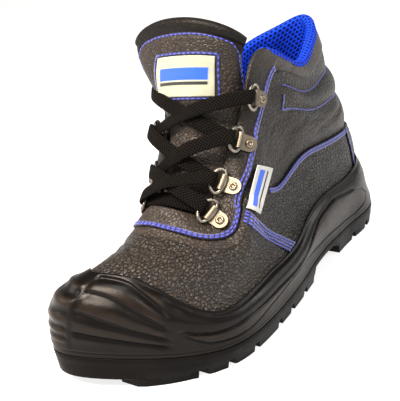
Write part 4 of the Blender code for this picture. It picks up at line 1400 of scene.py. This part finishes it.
def ring_wrap(index, outer, upwards):
    """Points of a lace round a ring's bow, from one side of the wire to the other; the way out."""
    here = loop_frame(index, outer)
    tilt = math.radians(LOOPS[index][2])
    reach = WIRE + BRAID_THICKNESS / 2 + 0.0003
    turns = np.radians(np.linspace(100, 260, 9))
    ahead = BAR_AHEAD + RING_REACH * math.cos(tilt)
    height = BAR_HEIGHT + RING_REACH * math.sin(tilt)
    points = np.array([seat(here, ahead + reach * math.cos(a), 0, height + reach * math.sin(a))
                       for a in turns])
    return points[::-1] if upwards else points, here[3]


def strand(begin, out_a, end, out_b, swell, lift):
    """Points of a lace between two rings, arched over the tongue; the way its flat side faces."""
    middle = unit(out_a + out_b)
    share = np.linspace(0, 1, 30)[:, None]
    arch = np.sin(math.pi * share) ** 0.75
    points = begin + (end - begin) * share + middle * (swell * arch + lift * trough(share, 0.5, 0.12))
    return points, unit(out_a * (1 - share) + out_b * share + middle * np.sin(math.pi * share))


def lace_path(stops):
    """Whole path of one lace through its stops, each a ring's index and side."""
    points, out = ring_wrap(*stops[0], True)
    # A tiny push keeps the middle of a wrap from having no direction
    lean = unit(points - (points[0] + points[-1]) / 2 + 1e-9)
    for index, outer in stops[1:]:
        wrap, out_next = ring_wrap(index, outer, False)
        lift = OVER if outer else UNDER
        run, face = strand(points[-1], out, wrap[0], out_next, LACE_SWELL[index], lift)
        points = np.concatenate([points, run[1:-1], wrap])
        lean = np.concatenate([lean, face[1:-1], unit(wrap - (wrap[0] + wrap[-1]) / 2 + 1e-9)])
        out = out_next
    return points, lean


def flat_section():
    """Section of the flat braid, with rounded edges."""
    turns = np.arange(20) * math.tau / 20
    c = np.cos(turns)
    s = np.sin(turns)
    return np.column_stack([BRAID_WIDTH / 2 * np.copysign(np.abs(c) ** 0.65, c),
                            BRAID_THICKNESS / 2 * np.copysign(np.abs(s) ** 0.6, s)])


def braid(name, points, lean, paint, *nodes):
    """Flat lace swept along points with its flat side towards lean."""
    run = run_along(points)
    count = int(run[-1] / BRAID_STEP)
    at = np.linspace(0, run[-1], count)
    path = read_line(at, run, points)
    lean = read_line(at, run, lean)
    for line in (path, path, lean, lean):
        line[1:-1] = (line[:-2] + line[1:-1] * 2 + line[2:]) / 4
    tangent = unit(np.gradient(path, axis=0))
    aside = unit(np.cross(lean, tangent))
    for i in range(1, count):
        if aside[i] @ aside[i - 1] < 0:
            aside[i] = -aside[i]
    # The lace rolls a little from side to side along its length
    roll = 0.16 * np.sin(at / 0.021 + len(name))[:, None]
    aside = aside * np.cos(roll) + np.cross(aside, tangent) * np.sin(roll)
    section = flat_section()
    uv = np.column_stack([np.repeat(at, len(section)), np.tile(section[:, 0], count)])
    return dress(make_mesh(name, *sweep(path, aside, section), uv=uv), paint, "lace", *nodes)


def build_laces():
    paint = lace_paint("braid_black", (0.0004, 0.0004, 0.0004), (0.0150, 0.0130, 0.0110))
    crossings = ("lace_cross_1", "lace_cross_2", "lace_cross_3")
    for name, first, nodes in (("lace_a", True, crossings), ("lace_b", False, ())):
        stops = [(index, first == (index % 2 == 0)) for index in range(len(LOOPS))]
        braid(name, *lace_path(stops), paint, *nodes)
    first, out_a = ring_wrap(0, True, True)
    last, out_b = ring_wrap(0, False, True)
    braid("lace_low", *strand(first[0], out_a, last[0], out_b, LACE_SWELL[0], 0.0), paint, "lace_bar")


def aim(thing, axes, place):
    """Put a lamp or camera at a place, with its own axes along the rows of axes."""
    rows = [(*map(float, axes[:, k]), float(place[k])) for k in range(3)]
    thing.matrix_world = Matrix(rows + [(0, 0, 0, 1)])


# The photograph's own view, found from the shoe's outline: azimuth, tilt and roll in degrees
VIEW = (40.44, 21.1, -8.92)
# Metres of one unit, place looked at in units, and the eye's from there along the camera's own axes
VIEW_UNIT = 0.300 / 287
TARGET = (0, 0, 70.0)
EYE = (-14.41, -5.18, 550.8)
FOCAL_PIXELS = 863.0
PHOTO_WIDTH = 401
SENSOR = 36


def set_camera():
    azimuth, tilt, roll = np.radians(VIEW)
    ahead = np.array([math.sin(azimuth), -math.cos(azimuth), 0.0])
    back = ahead * math.cos(tilt) + (0, 0, math.sin(tilt))
    right = np.array([math.cos(azimuth), math.sin(azimuth), 0.0])
    up = np.cross(back, right)
    axes = np.array([math.cos(roll) * right + math.sin(roll) * up,
                     -math.sin(roll) * right + math.cos(roll) * up, back])
    data = bpy.data.cameras.new("camera")
    data.sensor_width = SENSOR
    data.lens = FOCAL_PIXELS / PHOTO_WIDTH * SENSOR
    data.clip_start = 0.01
    camera = add_object("camera", data)
    aim(camera, axes, (np.array(TARGET) + EYE @ axes) * VIEW_UNIT - MIDDLE)
    bpy.context.scene.camera = camera


# Lamps: name, place, point aimed at, size, power, colour
LAMPS = (
    ("key", (-0.10, -0.85, 1.25), (0, -0.02, 0.06), (0.65, 0.55), 56, (1.0, 0.85, 0.72)),
    ("side", (0.85, -0.45, 1.0), (0, 0.0, 0.06), (0.35, 0.35), 6, (1.0, 0.92, 0.84)),
    ("top", (0.0, -0.1, 1.5), (0, 0, 0), (0.7, 0.7), 12, (1.0, 0.95, 0.90)),
    ("right", (1.2, -0.3, 0.45), (0, 0.05, 0.08), (0.5, 0.4), 1.0, (1.0, 0.96, 0.92)),
    ("back", (0.9, 1.0, 0.8), (0, 0.1, 0.1), (0.6, 0.5), 8, (1, 1, 1)),
    ("left", (-1.1, -0.7, 0.6), (0, -0.1, 0.05), (0.5, 0.5), 3.5, (1.0, 0.92, 0.84)),
)
# Floor that rises to a pale wall: radius and height of its rings; its two paints with their glow
FLOOR_RINGS = ((6.0, 0.0), (7.0, 0.2), (7.8, 0.9), (8.0, 2.0), (8.0, 5.0))
FLOOR_PAINTS = (("floor_white", (0.36, 0.36, 0.365), 0.80), ("wall_pale", (0.30, 0.30, 0.30), 0.36))


def lamp(name, place, target, size, power, colour):
    data = bpy.data.lights.new(name, "AREA")
    data.shape = "RECTANGLE"
    data.size, data.size_y = size
    data.energy = power
    data.color = colour
    back = unit(np.subtract(place, target))
    right = unit(np.cross((0, 0, 1) if abs(back[2]) < 0.95 else (0, 1, 0), back))
    aim(add_object(name, data), np.array([right, np.cross(back, right), back]), place)


def set_studio():
    scene = bpy.context.scene
    scene.view_settings.view_transform = "Standard"
    scene.world = bpy.data.worlds.new("studio")
    scene.world.use_nodes = True
    sky = scene.world.node_tree.nodes["Background"].inputs
    sky["Color"].default_value = (0.95, 0.96, 1.0, 1)
    sky["Strength"].default_value = 0.07
    count = 64
    turns = np.arange(count) * math.tau / count
    verts = [(r * math.cos(t), r * math.sin(t), z) for r, z in FLOOR_RINGS for t in turns]
    mesh = bpy.data.meshes.new("floor")
    mesh.from_pydata(verts, [], grid_faces(len(FLOOR_RINGS), count) + [tuple(range(count))])
    floor = add_object("floor", mesh)
    for name, colour, glow in FLOOR_PAINTS:
        paint = Paint(name, colour, 0.9, specular=0.0)
        paint.set("Emission Color", (1, 1, 1, 1))
        paint.set("Emission Strength", glow)
        mesh.materials.append(paint.material)
    for face in mesh.polygons:
        face.material_index = int(face.center[2] > 0.3)
    for values in LAMPS:
        lamp(*values)


set_camera()
set_studio()
build_leather()
build_lining()
build_footbed()
build_side()
build_tread()
build_tongue()
build_labels()
build_stitches()
build_loops()
build_laces()
